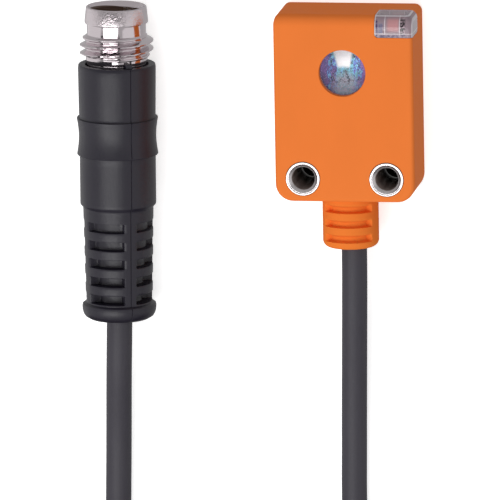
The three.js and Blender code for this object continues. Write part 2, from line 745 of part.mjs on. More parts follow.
// Moulded shell: smooth body, waisted grip collar and a flexible slotted boot.
function plugShell() {
  const collarRadius = COLLAR_DIAMETER / 2;
  const collarLength = COLLAR_TOP - COLLAR_BOTTOM;
  const collar = [];
  const steps = 4;
  for (let i = 0; i <= steps; i += 1) {
    const share = i / steps;
    const sag = Math.sin(Math.PI * share);
    collar.push([
      collarRadius - COLLAR_WAIST * sag,
      COLLAR_BOTTOM + collarLength * share,
    ]);
  }
  const flange = FLANGE_DIAMETER / 2;
  const flangeTopEdge = BOOT_END + FLANGE_LENGTH;
  const lower = SHELL_LOWER_DIAMETER / 2;
  const upper = SHELL_TOP_DIAMETER / 2;
  const recess = shellBore + SHELL_RECESS;
  const recessFloor = SHELL_TOP - SHELL_RECESS_DEPTH;
  const shoulder = SLEEVE_TAIL - 4 * CLEARANCE;
  const body = solid(turned([
    [cableHole, BOOT_END + SHELL_EDGE],
    [cableHole + 2 * SHELL_EDGE, BOOT_END],
    [flange * 0.65, BOOT_END],
    [flange * 0.85, BOOT_END + FLANGE_LENGTH * 0.12],
    [flange * 0.96, BOOT_END + FLANGE_LENGTH * 0.34],
    [flange, BOOT_END + FLANGE_LENGTH * 0.6],
    [flange, flangeTopEdge - SHELL_EDGE],
    [BOOT_TIP_DIAMETER / 2, flangeTopEdge],
    [BOOT_DIAMETER / 2, BOOT_TOP],
    [lower, BOOT_TOP + BOOT_STEP],
    [lower, COLLAR_BOTTOM],
    ...collar,
    [lower, COLLAR_TOP],
    [upper, SHELL_TOP - SHELL_EDGE],
    [upper - SHELL_EDGE, SHELL_TOP],
    [recess, SHELL_TOP],
    [recess, recessFloor],
    [shellBore, recessFloor],
    [shellBore, shoulder],
    [cavityRadius, shoulder],
    [cavityRadius, CAVITY_END],
    [cableHole, CAVITY_END],
  ], FINE));
  const slots = [];
  for (let row = 0; row < SLOT_ROWS; row += 1) {
    const low = SLOT_FIRST - row * SLOT_PITCH;
    const floor = SLOT_CORE - SLOT_CORE_FALL * row;
    for (let side = 0; side < SLOTS_ROUND; side += 1) {
      const pitch = 360 / SLOTS_ROUND;
      const centre = KEY_ANGLE + (side + 0.5) * pitch;
      slots.push(solid(ringWedge(floor, COLLAR_DIAMETER / 2, low, low + SLOT_HEIGHT, centre,
        pitch - WEB_ARC)));
    }
  }
  const key = ringWedge(boreRadius + 3 * EDGE, rootRadius + KEY_PROUD, SLEEVE_TAIL,
    SHELL_TOP + KEY_RISE, KEY_ANGLE, KEY_ARC);
  return cut(body, slots).add(solid(key));
}

function contactCarrier() {
  const base = SLEEVE_TAIL - 2 * CLEARANCE;
  const carrier = solid(rod(boreRadius - CLEARANCE, base, CARRIER_TOP, EDGE, COARSE));
  const holes = wires.map(([, , angle]) => {
    const hole = turned([
      [0, SLEEVE_TAIL - BEYOND],
      [PIN_DIAMETER / 2 + CLEARANCE, SLEEVE_TAIL - BEYOND],
      [PIN_DIAMETER / 2 + CLEARANCE, SLEEVE_TOP],
      [0, SLEEVE_TOP],
    ], COARSE / 2);
    hole.translate(pinCircle * Math.cos(degrees(angle)), 0, pinCircle * Math.sin(degrees(angle)));
    return solid(hole);
  });
  return surface(cut(carrier, holes));
}

put(plug, 'plug_sleeve', surface(plugSleeve()), finish(NICKEL, 0.2, 1));
put(plug, 'plug_shell', surface(plugShell()), finish(BLACK, 0.6));
put(plug, 'contact_carrier', contactCarrier(), finish(0x1d1b1c, 0.6));
put(plug, 'plug_filler', turned([
  [fillerBore, FILLER_LOW],
  [cavityRadius - CLEARANCE, FILLER_LOW],
  [cavityRadius - CLEARANCE, FILLER_HIGH],
  [fillerBore, FILLER_HIGH],
], COARSE), finish(0x9a9a96, 0.6));
put(plug, 'cable_end_plug', rod(cableRadius, BOOT_END, PLUG_CABLE_TOP, EDGE, COARSE),
  finish(CABLE_GREY, 0.6));

const pinNumbers = { brown: 1, blue: 3, black: 4 };
for (const [name, color, angle] of wires) {
  const [x, z] = [Math.cos(degrees(angle)), Math.sin(degrees(angle))];
  const pin = put(plug, `contact_pin_${pinNumbers[name]}`,
    rod(PIN_DIAMETER / 2, PIN_TAIL, SLEEVE_TOP - PIN_DEPTH, PIN_CHAMFER, COARSE / 2),
    finish(0xd9b45c, 0.25, 1));
  pin.position.set(pinCircle * x, 0, pinCircle * z);
  const route = [
    [WIRE_CIRCLE * x, PLUG_CABLE_TOP + CORD_GAP, WIRE_CIRCLE * z],
    [WIRE_CIRCLE * x, FILLER_LOW + 1.1, WIRE_CIRCLE * z],
    [pinCircle * x, FILLER_HIGH - 1, pinCircle * z],
    [pinCircle * x, PIN_TAIL - CORD_GAP, pinCircle * z],
  ];
  put(plug, `plug_wire_${name}`, tube(route, WIRE_DIAMETER, 10, 8), finish(color, 0.5));
}

// ---------------------------------------------------------------- free cable
const cableMaterial = finish(CABLE_GREY, 0.6);
const floorHeight = cableRadius + 0.01;
// Points on the free cable's axis, from each end towards the coil.
const headRun = [
  [CABLE_X, reliefEnd - CORD_GAP, CABLE_Z],
  [0.31, -11.5, CABLE_Z - 0.05],
  [0.21, -15.0, 3.65],
  [0.03, -19.0, 2.9],
  [-0.15, -23.0, 2.15],
  [-0.3, -27.0, 1.62],
  [-0.39, -31.0, 1.42],
  [-0.46, -35.0, floorHeight],
  [-0.44, -38.0, floorHeight],
  [-0.24, -41.2, floorHeight],
];
const plugRun = [
  [-25.2, BOOT_END - CORD_GAP, PLUG_Z],
  [-25.3, -19.5, 4.28],
  [-25.47, -22.5, 3.75],
  [-25.68, -25.5, 2.85],
  [-25.88, -28.5, 2.0],
  [-26.03, -31.5, 1.47],
  [-26.12, -34.5, floorHeight],
  [-26.2, -37.5, 1.45],
  [-26.3, -39.5, 1.8],
  [-26.48, -41.5, 2.4],
];
put(sensor, 'cable_run_head', tube(headRun, CABLE_DIAMETER, 12, 8), cableMaterial);
put(sensor, 'cable_run_plug', tube(plugRun, CABLE_DIAMETER, 10, 8), cableMaterial);

const coilGroup = new THREE.Group();
coilGroup.position.set(COIL_X, COIL_Y, 0);
sensor.add(coilGroup);
put(coilGroup, 'cable_coil', turnedUp([
  [COIL_INNER + COIL_CORNER, COIL_BASE],
  [COIL_OUTER - COIL_CORNER, COIL_BASE],
  [COIL_OUTER, COIL_BASE + COIL_CORNER],
  [COIL_OUTER, COIL_TOP - COIL_CORNER],
  [COIL_OUTER - COIL_CORNER, COIL_TOP],
  [COIL_INNER + COIL_CORNER, COIL_TOP],
  [COIL_INNER, COIL_TOP - COIL_CORNER],
  [COIL_INNER, COIL_BASE + COIL_CORNER],
], FINE), cableMaterial);

// A cable tie round the far side of the coil.
function cableTie() {
  const low = COIL_INNER - CORD_GAP;
  const high = COIL_OUTER + CORD_GAP;
  const base = COIL_BASE - CORD_GAP;
  const top = COIL_TOP + CORD_GAP;
  const wall = TIE_THICKNESS;
  const outer = block(
    [-TIE_WIDTH / 2, -high - wall, base - wall],
    [TIE_WIDTH / 2, -low + wall, top + wall],
  );
  const inner = block([-TIE_WIDTH, -high, base], [TIE_WIDTH, -low, top]);
  const lock = block(
    [-TIE_LOCK_WIDTH / 2, -low - TIE_LOCK_LENGTH, top],
    [TIE_LOCK_WIDTH / 2, -low, top + TIE_LOCK_HEIGHT],
  );
  return surface(solid(outer).subtract(solid(inner)).add(solid(lock)));
}

put(coilGroup, 'cable_tie', cableTie(), finish(0x1c1c1c, 0.5));

export default sensor;
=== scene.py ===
"""Looks for a small cuboid photoelectric sensor on a short cable with a round threaded plug.

The packed model gives the main sizes and places, and finer ones are given here in millimetres.
Each operator makes one piece or group of like pieces and gives it its finish; main() calls them
in order.
"""
import json
import math

import bmesh
import bpy
from mathutils import Matrix, Vector

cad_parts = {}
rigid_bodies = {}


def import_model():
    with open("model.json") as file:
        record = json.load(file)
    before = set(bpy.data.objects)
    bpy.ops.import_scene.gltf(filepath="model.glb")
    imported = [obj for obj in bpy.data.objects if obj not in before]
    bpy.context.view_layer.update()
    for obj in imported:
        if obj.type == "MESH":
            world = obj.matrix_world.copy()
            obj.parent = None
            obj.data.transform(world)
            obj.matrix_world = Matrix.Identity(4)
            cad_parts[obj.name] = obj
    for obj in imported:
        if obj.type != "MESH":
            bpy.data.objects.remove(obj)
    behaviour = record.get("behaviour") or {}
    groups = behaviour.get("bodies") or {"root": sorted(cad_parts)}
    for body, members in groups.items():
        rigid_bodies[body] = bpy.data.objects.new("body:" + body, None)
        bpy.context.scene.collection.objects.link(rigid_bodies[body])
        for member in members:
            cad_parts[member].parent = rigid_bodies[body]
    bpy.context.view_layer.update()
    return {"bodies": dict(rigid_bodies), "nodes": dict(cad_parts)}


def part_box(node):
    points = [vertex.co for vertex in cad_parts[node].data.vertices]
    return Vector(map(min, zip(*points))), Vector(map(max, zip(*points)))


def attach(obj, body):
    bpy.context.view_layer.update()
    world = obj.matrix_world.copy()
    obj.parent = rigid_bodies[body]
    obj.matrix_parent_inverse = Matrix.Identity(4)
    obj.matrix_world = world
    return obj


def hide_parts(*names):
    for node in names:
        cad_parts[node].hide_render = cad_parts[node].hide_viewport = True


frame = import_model()

bl_info = {
    "name": "Photoelectric Sensor",
    "version": (1, 0, 0),
    "blender": (4, 5, 0),
    "location": "View3D > Sidebar > Sensor",
    "description": "Makes the visible pieces and finishes of a small photoelectric sensor",
    "category": "Object",
}

MM = 0.001
BODY = next(iter(frame["bodies"]))
FULL_TURN = 2 * math.pi


# ------------------------------------------------------------------ places from the frame
def middle(node):
    """Centre of a CAD node's box."""
    low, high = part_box(node)
    return (low + high) / 2


def span(node):
    """Size of a CAD node's box along X, Y and Z."""
    low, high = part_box(node)
    return high - low


HEAD_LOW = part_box("back_cover")[0]
HEAD_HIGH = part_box("housing_body")[1]
COVER_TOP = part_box("housing_body")[0].z
PLUG_LEAN = math.radians(0.47)       # the plug lies turned by this much about Z
KEY_ANGLE = math.radians(30)         # the plug's key and mould line, from +Z towards +X


# ------------------------------------------------------------------ shader expressions
class Wire:
    """An output socket that can be used in arithmetic."""

    def __init__(self, graph, socket):
        self.graph = graph
        self.socket = socket

    def _math(self, operation, first, second):
        return self.graph.node("ShaderNodeMath", {"operation": operation}, {0: first, 1: second})

    def __add__(self, other):
        return self._math("ADD", self, other)

    def __radd__(self, other):
        return self._math("ADD", other, self)

    def __sub__(self, other):
        return self._math("SUBTRACT", self, other)

    def __rsub__(self, other):
        return self._math("SUBTRACT", other, self)

    def __mul__(self, other):
        return self._math("MULTIPLY", self, other)

    def __rmul__(self, other):
        return self._math("MULTIPLY", other, self)

    def __gt__(self, other):
        return self._math("GREATER_THAN", self, other)


class Graph:
    """A material and the nodes that make its finish."""

    def __init__(self, name):
        self.material = bpy.data.materials.new(name)
        self.material.use_nodes = True
        self.tree = self.material.node_tree
        self.tree.nodes.clear()

    def node(self, kind, settings=None, sockets=None, output=0):
        """Adds a node, sets its settings, then the values or links of its sockets."""
        made = self.tree.nodes.new(kind)
        for key, value in (settings or {}).items():
            if key == "stops":
                self._ramp(made.color_ramp, value)
            else:
                setattr(made, key, value)
        for key, value in (sockets or {}).items():
            if isinstance(value, Wire):
                self.tree.links.new(value.socket, made.inputs[key])
            else:
                made.inputs[key].default_value = value
        return Wire(self, made.outputs[output]) if made.outputs else None

    @staticmethod
    def _ramp(ramp, stops):
        while len(ramp.elements) < len(stops):
            ramp.elements.new(0.5)
        for element, (position, color) in zip(ramp.elements, stops):
            element.position = position
            element.color = color

    def place(self):
        """Position on the object in millimetres."""
        coordinates = self.node("ShaderNodeTexCoord", output="Object")
        return self.node(
            "ShaderNodeVectorMath", {"operation": "SCALE"}, {0: coordinates, "Scale": 1 / MM},
        )

    def axes(self, vector):
        """The three parts of a vector."""
        first = self.node("ShaderNodeSeparateXYZ", sockets={0: vector})
        node = first.socket.node
        return first, Wire(self, node.outputs[1]), Wire(self, node.outputs[2])

    def stretched(self, vector, scale):
        """A vector with its three parts scaled."""
        return self.node("ShaderNodeVectorMath", {"operation": "MULTIPLY"}, {0: vector, 1: scale})

    def noise(self, vector, scale, detail=3.0, roughness=0.5):
        """Even noise from 0 to 1, with its scale in features per millimetre."""
        return self.node(
            "ShaderNodeTexNoise", {"noise_dimensions": "3D"},
            {"Vector": vector, "Scale": scale, "Detail": detail, "Roughness": roughness},
        )

    def ramp(self, value, stops):
        """Colours along a value."""
        return self.node("ShaderNodeValToRGB", {"stops": stops}, {0: value})

    def between(self, value, low, high, start=0.0, end=1.0):
        """A value's range mapped to another, and held at its ends."""
        return self.node(
            "ShaderNodeMapRange", {"clamp": True},
            {"Value": value, "From Min": low, "From Max": high, "To Min": start, "To Max": end},
        )

    def blend(self, first, second, share):
        """Two colours mixed."""
        return self.node(
            "ShaderNodeMix", {"data_type": "RGBA"}, {0: share, 6: first, 7: second}, output=2,
        )

    def bump(self, height, strength, distance):
        """A normal from a height in millimetres."""
        return self.node(
            "ShaderNodeBump", {}, {"Strength": strength, "Distance": distance, "Height": height},
        )

    def finish(self, **sockets):
        """The material, with its surface made by one Principled node."""
        named = {key.replace("_", " "): value for key, value in sockets.items()}
        shader = self.node("ShaderNodeBsdfPrincipled", sockets=named)
        self.node("ShaderNodeOutputMaterial", sockets={"Surface": shader})
        return self.material


def rgba(color, gain=1.0):
    """A colour property as a shader value, made lighter or darker."""
    return tuple(min(1.0, part * gain) for part in color[:3]) + (1.0,)


# ------------------------------------------------------------------ finishes
def moulded_plastic(name, color, roughness=0.42, grain=0.02, tone=0.06, shine=0.02):
    """Spark-eroded plastic: fine grain, faint flow marks and slightly polished high spots."""
    graph = Graph(name)
    place = graph.place()
    flow = graph.noise(graph.stretched(place, (0.25, 0.12, 0.25)), 1.0, 4.0)
    fine = graph.noise(place, 9.0, 2.0, 0.6)
    tint = graph.blend(rgba(color, 1 - tone), rgba(color, 1 + tone), flow)
    speck = graph.between(fine, 0.62, 0.75, 0.0, 0.25)
    return graph.finish(
        Base_Color=graph.blend(tint, rgba(color, 1.15), speck),
        Roughness=graph.between(fine * 0.5 + flow * 0.5, 0.3, 0.7, roughness - 0.06, roughness + 0.08),
        IOR=1.25,
        Specular_IOR_Level=shine,
        Normal=graph.bump(fine, 0.35, grain * MM),
    )


def plated_sleeve(color, inside, centre, bore):
    """Bright nickel with a sparkling fine grain outside, and a dull brown bore."""
    graph = Graph("sleeve_nickel")
    place = graph.place()
    offset = graph.node(
        "ShaderNodeVectorMath", {"operation": "SUBTRACT"}, {0: place, 1: tuple(centre / MM)},
    )
    x, y, z = graph.axes(offset)
    outside = x * x + z * z > (bore / MM) ** 2
    grain = graph.noise(place, 5.0, 2.0, 0.75)
    lines = graph.noise(graph.stretched(place, (0.4, 5.0, 0.4)), 1.0, 3.0, 0.6)
    high = graph.between(y, 16.0, 16.3, 0.06, 1.0)
    return graph.finish(
        Base_Color=graph.blend(rgba(inside), rgba(color), outside),
        Metallic=outside * 0.9 + 0.1,
        Roughness=graph.between(lines, 0.3, 0.7, 0.07, 0.14) + (1 - outside) * 0.4,
        Normal=graph.bump(grain * high * 2.6 + lines * 0.05, 0.6, 0.04 * MM),
    )


def worked_metal(name, color, roughness, grooves, direction):
    """Turned or plated metal with fine tool lines across one direction."""
    graph = Graph(name)
    place = graph.place()
    stretch = tuple(grooves if axis else 0.35 for axis in direction)
    lines = graph.noise(graph.stretched(place, stretch), 1.0, 3.0, 0.6)
    cloud = graph.noise(place, 0.8, 3.0)
    return graph.finish(
        Base_Color=graph.blend(rgba(color, 0.94), rgba(color, 1.05), cloud),
        Metallic=1.0,
        Roughness=graph.between(lines * 0.6 + cloud * 0.4, 0.3, 0.7, roughness * 0.7, roughness * 1.4),
        Normal=graph.bump(lines, 0.12, 0.01 * MM),
    )


def bush_metal(color, inside, top):
    """Bright turned rim over a bore with painted shade that deepens downwards."""
    graph = Graph("bush_metal")
    place = graph.place()
    _, _, z = graph.axes(place)
    lines = graph.noise(graph.stretched(place, (0.35, 0.35, 6.0)), 1.0, 3.0, 0.6)
    cloud = graph.noise(place, 0.8, 3.0)
    rim_low, rim_high = top / MM - 0.8, top / MM - 0.1
    # Painted shade: the bore wall goes nearly black low down and clears to its own mottled colour towards
    # the rim.
    painted_shade_full_below, painted_shade_clear_above = 1.2, 4.2
    bright = graph.between(z + (lines - 0.5) * 0.3, rim_low, rim_high)
    rim = graph.blend(rgba(color, 0.94), rgba(color, 1.05), cloud)
    mottled_bore = graph.blend(rgba(inside, 0.75), rgba(inside, 1.25), cloud)
    wall = graph.blend(rgba(inside, 0.06), mottled_bore, graph.between(z, painted_shade_full_below, painted_shade_clear_above))
    return graph.finish(
        Base_Color=graph.blend(wall, rim, bright),
        Metallic=graph.between(bright, 0.0, 1.0, 0.5, 1.0),
        Roughness=graph.between(lines * 0.6 + cloud * 0.4, 0.3, 0.7, 0.16, 0.3) + (1 - bright) * 0.3,
        Normal=graph.bump(lines, 0.12, 0.01 * MM),
    )


def plain_part(name, color, roughness=0.5, metallic=0.0, fleck=0.12):
    """Small hidden parts: a mottled colour and an uneven gloss."""
    graph = Graph(name)
    place = graph.place()
    cloud = graph.noise(place, 2.5, 3.0)
    fine = graph.noise(place, 14.0, 2.0)
    return graph.finish(
        Base_Color=graph.blend(rgba(color, 1 - fleck), rgba(color, 1 + fleck), cloud),
        Metallic=metallic,
        Roughness=graph.between(fine, 0.3, 0.7, roughness * 0.85, min(1.0, roughness * 1.15)),
        Normal=graph.bump(fine, 0.2, 0.01 * MM),
    )


def housing_orange(color):
    """The sensor's hard orange moulding."""
    return moulded_plastic("housing_orange", color, roughness=0.42, grain=0.03, tone=0.05)


def relief_orange(color):
    """The softer, more saturated orange of the strain relief."""
    return moulded_plastic("relief_orange", color, roughness=0.5, grain=0.04, tone=0.07)


def shell_black(color):
    """Black overmoulding with a satin grain, and paler dust in its pores."""
    graph = Graph("shell_black")
    place = graph.place()
    along = graph.stretched(place, (1.0, 0.18, 1.0))
    flow = graph.noise(along, 1.1, 4.0)
    fine = graph.noise(place, 11.0, 2.0, 0.65)
    dust = graph.between(graph.noise(place, 5.0, 4.0, 0.7), 0.56, 0.74, 0.0, 0.35)
    tint = graph.blend(rgba(color, 0.86), rgba(color, 1.16), flow)
    return graph.finish(
        Base_Color=graph.blend(tint, rgba(color, 1.9), dust),
        Roughness=graph.between(fine * 0.6 + flow * 0.4, 0.3, 0.7, 0.34, 0.5),
        Normal=graph.bump(fine, 0.4, 0.03 * MM),
    )


def cable_jacket(color):
    """Dark grey polyurethane: fine matt skin with drawn lines along the cable."""
    graph = Graph("cable_jacket")
    place = graph.place()
    drawn = graph.noise(graph.stretched(place, (3.5, 0.12, 3.5)), 1.0, 3.0)
    fine = graph.noise(place, 12.0, 2.0, 0.6)
    return graph.finish(
        Base_Color=graph.blend(rgba(color, 0.85), rgba(color, 1.18), drawn),
        Roughness=graph.between(fine, 0.3, 0.7, 0.5, 0.66),
        Normal=graph.bump(fine * 0.7 + drawn * 0.3, 0.35, 0.03 * MM),
    )


def clear_moulding(name, color, alpha, roughness=0.04, index=1.5):
    """Clear plastic: a faint tint over what lies behind, with flow marks in its gloss."""
    graph = Graph(name)
    place = graph.place()
    flow = graph.noise(place, 1.6, 3.0)
    return graph.finish(
        Base_Color=graph.blend(rgba(color, 0.85), rgba(color, 1.1), flow),
        Alpha=graph.between(flow, 0.3, 0.7, alpha * 0.8, alpha * 1.2),
        Roughness=graph.between(flow, 0.3, 0.7, roughness, roughness + 0.04),
        IOR=index,
        Normal=graph.bump(flow, 0.15, 0.03 * MM),
    )


def window_moulding(color, low, high, alpha):
    """Clear block with painted highlights along its edges, painted violet shade on its lower and left
    bevels, a painted shadow at its left, and the lamps' pink body and dark post painted in.
    """
    graph = Graph("window_clear")
    place = graph.place()
    x, y, z = graph.axes(place)
    across = graph.between(x, low.x / MM, high.x / MM)
    upward = graph.between(y, low.y / MM, high.y / MM)
    fine = graph.noise(place, 3.2, 3.0, 0.7)
    cloud = graph.noise(place, 1.5, 2.0)

    def band(value, centre, half):
        gap = graph.node("ShaderNodeMath", {"operation": "ABSOLUTE"}, {0: value - centre})
        return graph.between(gap, half * 1.25, half * 0.75)

    tint = graph.blend(rgba(color, 0.86), rgba(color, 1.1), cloud)
    # Painted shadow: a dark navy patch at the left of the block.
    painted_shadow_left = band(across, 0.12, 0.1) * band(upward, 0.42, 0.25)
    tint = graph.blend(tint, (0.12, 0.13, 0.24, 1.0), painted_shadow_left * graph.between(fine, 0.3, 0.6, 0.3, 0.9))
    body = band(across, 0.49, 0.155) * band(upward, 0.58, 0.29)
    tint = graph.blend(tint, (0.66, 0.31, 0.32, 1.0), body * 0.9)
    post = band(across, 0.74, 0.075) * band(upward, 0.5, 0.38)
    tint = graph.blend(tint, (0.035, 0.025, 0.03, 1.0), post * graph.between(fine, 0.5, 0.56, 1.0, 0.1))
    # Painted shade: dark violet on the lower and left bevels.
    bevel = band(upward, 0.07, 0.06) * band(across, 0.45, 0.42) + band(across, 0.05, 0.03) * band(
        upward, 0.45, 0.4)
    tint = graph.blend(tint, (0.06, 0.035, 0.12, 1.0), bevel * graph.between(fine, 0.4, 0.62, 1.0, 0.3))
    # Painted highlights: pale lines along the inner frame edges and the block's rim; pale is their mask.
    painted_highlight_lines = band(across, 0.27, 0.012) * band(upward, 0.56, 0.36) + band(upward, 0.175, 0.018)
    painted_highlight_lines = painted_highlight_lines + band(across, 0.665, 0.012) * band(upward, 0.56, 0.36)
    rim = band(across, 0.012, 0.012) + band(upward, 0.965, 0.02) + band(across, 0.985, 0.016)
    pale = graph.between(painted_highlight_lines * 0.75 + rim * 0.8, 0.0, 1.0)
    return graph.finish(
        Base_Color=graph.blend(tint, (0.86, 0.80, 0.84, 1.0), pale),
        Alpha=graph.between(painted_shadow_left + body * 0.6 + post + bevel + pale, 0.0, 1.0, alpha, 0.95),
        Roughness=graph.between(fine, 0.3, 0.7, 0.05, 0.12),
        Normal=graph.bump(cloud, 0.15, 0.03 * MM),
    )


def coated_bowl(centre, radius, inner, middle_tint, outer, pale):
    """Thin-film coating behind the lens: cyan streaks to violet, with a painted white reflection of the
    softbox towards the window end and a painted pale reflection of the bright surroundings towards the
    cable end.
    """
    graph = Graph("coated_bowl")
    place = graph.place()
    offset = graph.node(
        "ShaderNodeVectorMath", {"operation": "SUBTRACT"}, {0: place, 1: tuple(centre / MM)},
    )
    x, y, _ = graph.axes(graph.node(
        "ShaderNodeVectorMath", {"operation": "SCALE"}, {0: offset, "Scale": MM / radius},
    ))
    streaks = graph.noise(graph.stretched(place, (2.6, 0.9, 1.0)), 1.0, 4.0, 0.7)
    specks = graph.noise(place, 3.5, 3.0, 0.7)
    sideways = graph.node("ShaderNodeMath", {"operation": "ABSOLUTE"}, {0: x})
    film = sideways * 0.85 + y * -0.1 + (streaks - 0.5) * 2.1
    tint = graph.ramp(film, [
        (0.0, rgba(inner, 0.1)), (0.12, rgba(inner)), (0.22, rgba(inner, 0.22)), (0.34, rgba(inner)),
        (0.48, rgba(middle_tint)), (0.6, rgba(outer, 0.3)), (0.72, rgba(outer)), (1.0, rgba(outer, 0.5)),
    ])
    # Painted reflection: the pale colour of the bright surroundings, speckled, towards the cable end.
    painted_reflection_low = graph.between(y + sideways * 0.35, -0.05, -0.4) * graph.between(sideways, 0.75, 0.3)
    lower = graph.blend(tint, rgba(pale), painted_reflection_low * graph.between(specks, 0.35, 0.6, 0.35, 1.0))
    rings = graph.between(graph.noise(graph.stretched(place, (3.0, 2.2, 1.0)), 1.0, 3.0, 0.8), 0.5, 0.6)
    mid_part = graph.between(sideways, 0.8, 0.6) * graph.between(y, -0.75, -0.5)
    lower = graph.blend(lower, (0.008, 0.006, 0.03, 1.0), rings * mid_part)
    # Painted reflection: a white fan of softbox light laid into the base colour towards the window end.
    leaning = graph.node("ShaderNodeMath", {"operation": "ABSOLUTE"}, {0: x + 0.08})
    painted_reflection_high = graph.between(y + leaning * 0.1, 0.02, 0.16) * graph.between(leaning - y * 0.2, 0.3, 0.2)
    return graph.finish(
        Base_Color=graph.blend(lower, (1.0, 1.0, 1.0, 1.0), painted_reflection_high),
        Metallic=0.3,
        Roughness=graph.between(streaks, 0.3, 0.7, 0.25, 0.5),
        Normal=graph.bump(streaks * 0.7 + specks * 0.3, 0.3, 0.06 * MM),
    )


# ------------------------------------------------------------------ mesh work
def new_piece(name, points, faces, sharp=35.0, place=None):
    """A mesh object with clean outward faces, smooth but for its sharp edges."""
    mesh = bpy.data.meshes.new(name)
    mesh.from_pydata(points, [], faces)
    if place is not None:
        mesh.transform(place)
    work = bmesh.new()
    work.from_mesh(mesh)
    bmesh.ops.remove_doubles(work, verts=work.verts, dist=0.0005 * MM)
    bmesh.ops.dissolve_degenerate(work, edges=work.edges, dist=0.0002 * MM)
    bmesh.ops.recalc_face_normals(work, faces=work.faces)
    work.to_mesh(mesh)
    work.free()
    piece = bpy.data.objects.new(name, mesh)
    bpy.context.scene.collection.objects.link(piece)
    soften(piece, sharp)
    return piece


def soften(piece, sharp):
    """Smooth shading, with edges sharper than an angle kept crisp."""
    mesh = piece.data
    mesh.polygons.foreach_set("use_smooth", [True] * len(mesh.polygons))
    mesh.set_sharp_from_angle(angle=math.radians(sharp))
    mesh.update()


def weight_normals(piece):
    """Keeps large flat faces flat beside their rounded edges."""
    modifier = piece.modifiers.new("flat_faces", "WEIGHTED_NORMAL")
    modifier.keep_sharp = True
    modifier.weight = 100


def dress(piece, material, slot, *nodes):
    """Gives a piece its finish and its body, and hides the CAD nodes that it stands for."""
    if piece.type == "MESH":
        weight_normals(piece)
    piece.data.materials.clear()
    piece.data.materials.append(material)
    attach(piece, BODY)
    if nodes:
        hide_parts(*nodes)
    return piece


def turned(line, angles, shape=None):
    """A line of (radius, height) points swept round the Z axis.

    The line closes on itself unless it starts on the axis. shape(radius, height, angle, index)
    may move each point.
    """
    closed = line[0][0] > 0
    count = len(line)
    points = []
    for angle in angles:
        for index, (radius, height) in enumerate(line):
            if shape is not None:
                radius, height = shape(radius, height, angle, index)
            points.append((radius * math.cos(angle), radius * math.sin(angle), height))
    faces = []
    turns = len(angles)
    for i in range(turns):
        after = (i + 1) % turns
        for j in range(count if closed else count - 1):
            k = (j + 1) % count
            faces.append((i * count + j, i * count + k, after * count + k, after * count + j))
    return points, faces


def even_angles(count):
    return [FULL_TURN * i / count for i in range(count)]


def along_z(centre):
    return Matrix.Translation(centre)


def along_y(centre, lean=0.0):
    """Turns a swept piece's axis to Y, with its angle zero facing +Z and growing towards +X."""
    turn = Matrix(((0, 1, 0, 0), (0, 0, 1, 0), (1, 0, 0, 0), (0, 0, 0, 1)))
    return Matrix.Translation(centre) @ Matrix.Rotation(-lean, 4, "Z") @ turn


def arc(centre_r, centre_h, radius, start, end, steps):
    """Points of an arc in the (radius, height) plane, in degrees from the radius axis."""
    found = []
    for i in range(steps + 1):
        angle = math.radians(start + (end - start) * i / steps)
        found.append((centre_r + radius * math.cos(angle), centre_h + radius * math.sin(angle)))
    return found


def steps_between(low, high, step):
    """Even values from low to high, about a step apart."""
    count = max(1, round(abs(high - low) / step))
    return [low + (high - low) * i / count for i in range(count + 1)]


def smooth_step(value, low, high):
    """0 below low and 1 above high, with a soft rise between."""
    share = min(1.0, max(0.0, (value - low) / (high - low)))
    return share * share * (3 - 2 * share)


def rounded_outline(low, high, lower, upper, steps=10):
    """Corner-rounded rectangle in X and Y, as a list of points."""
    corners = [
        (high.x - lower, low.y + lower, lower, -90),
        (high.x - upper, high.y - upper, upper, 0),
        (low.x + upper, high.y - upper, upper, 90),
        (low.x + lower, low.y + lower, lower, 180),
    ]
    outline = []
    for x, y, radius, start in corners:
        for i in range(steps + 1):
            angle = math.radians(start + 90 * i / steps)
            outline.append((x + radius * math.cos(angle), y + radius * math.sin(angle)))
    return outline


def stacked(levels):
    """A solid through outlines of equal length, each a (height, outline) pair."""
    points = []
    faces = []
    count = len(levels[0][1])
    for height, outline in levels:
        points.extend((x, y, height) for x, y in outline)
    for level in range(len(levels) - 1):
        for i in range(count):
            j = (i + 1) % count
            a, b = level * count + i, level * count + j
            faces.append((a, b, b + count, a + count))
    faces.append(tuple(reversed(range(count))))
    last = (len(levels) - 1) * count
    faces.append(tuple(range(last, last + count)))
    return points, faces


def carved(piece, cutters, operation="DIFFERENCE"):
    """Applies a boolean with each cutter, and removes the cutters."""
    for cutter in cutters:
        modifier = piece.modifiers.new("cut", "BOOLEAN")
        modifier.operation = operation
        modifier.solver = "EXACT"
        modifier.object = cutter
        graph = bpy.context.evaluated_depsgraph_get()
        mesh = bpy.data.meshes.new_from_object(piece.evaluated_get(graph))
        piece.modifiers.clear()
        old = piece.data
        piece.data = mesh
        bpy.data.meshes.remove(old)
        bpy.data.objects.remove(cutter)
    if not piece.data.polygons:
        raise RuntimeError(f"{piece.name} was cut away")
    return piece


def bar(name, low, high, edge=0.0, steps=2):
    """A block between two corners with rounded edges."""
    mesh = bpy.data.meshes.new(name)
    work = bmesh.new()
    bmesh.ops.create_cube(work, size=1.0)
    for vertex in work.verts:
        vertex.co = Vector((
            (low[axis] + high[axis]) / 2 + vertex.co[axis] * (high[axis] - low[axis])
            for axis in range(3)
        ))
    if edge > 0:
        bmesh.ops.bevel(
            work, geom=work.edges[:], offset=edge, segments=steps, profile=0.5, affect="EDGES",
        )
    work.to_mesh(mesh)
    work.free()
    piece = bpy.data.objects.new(name, mesh)
    bpy.context.scene.collection.objects.link(piece)
    soften(piece, 50.0)
    return piece


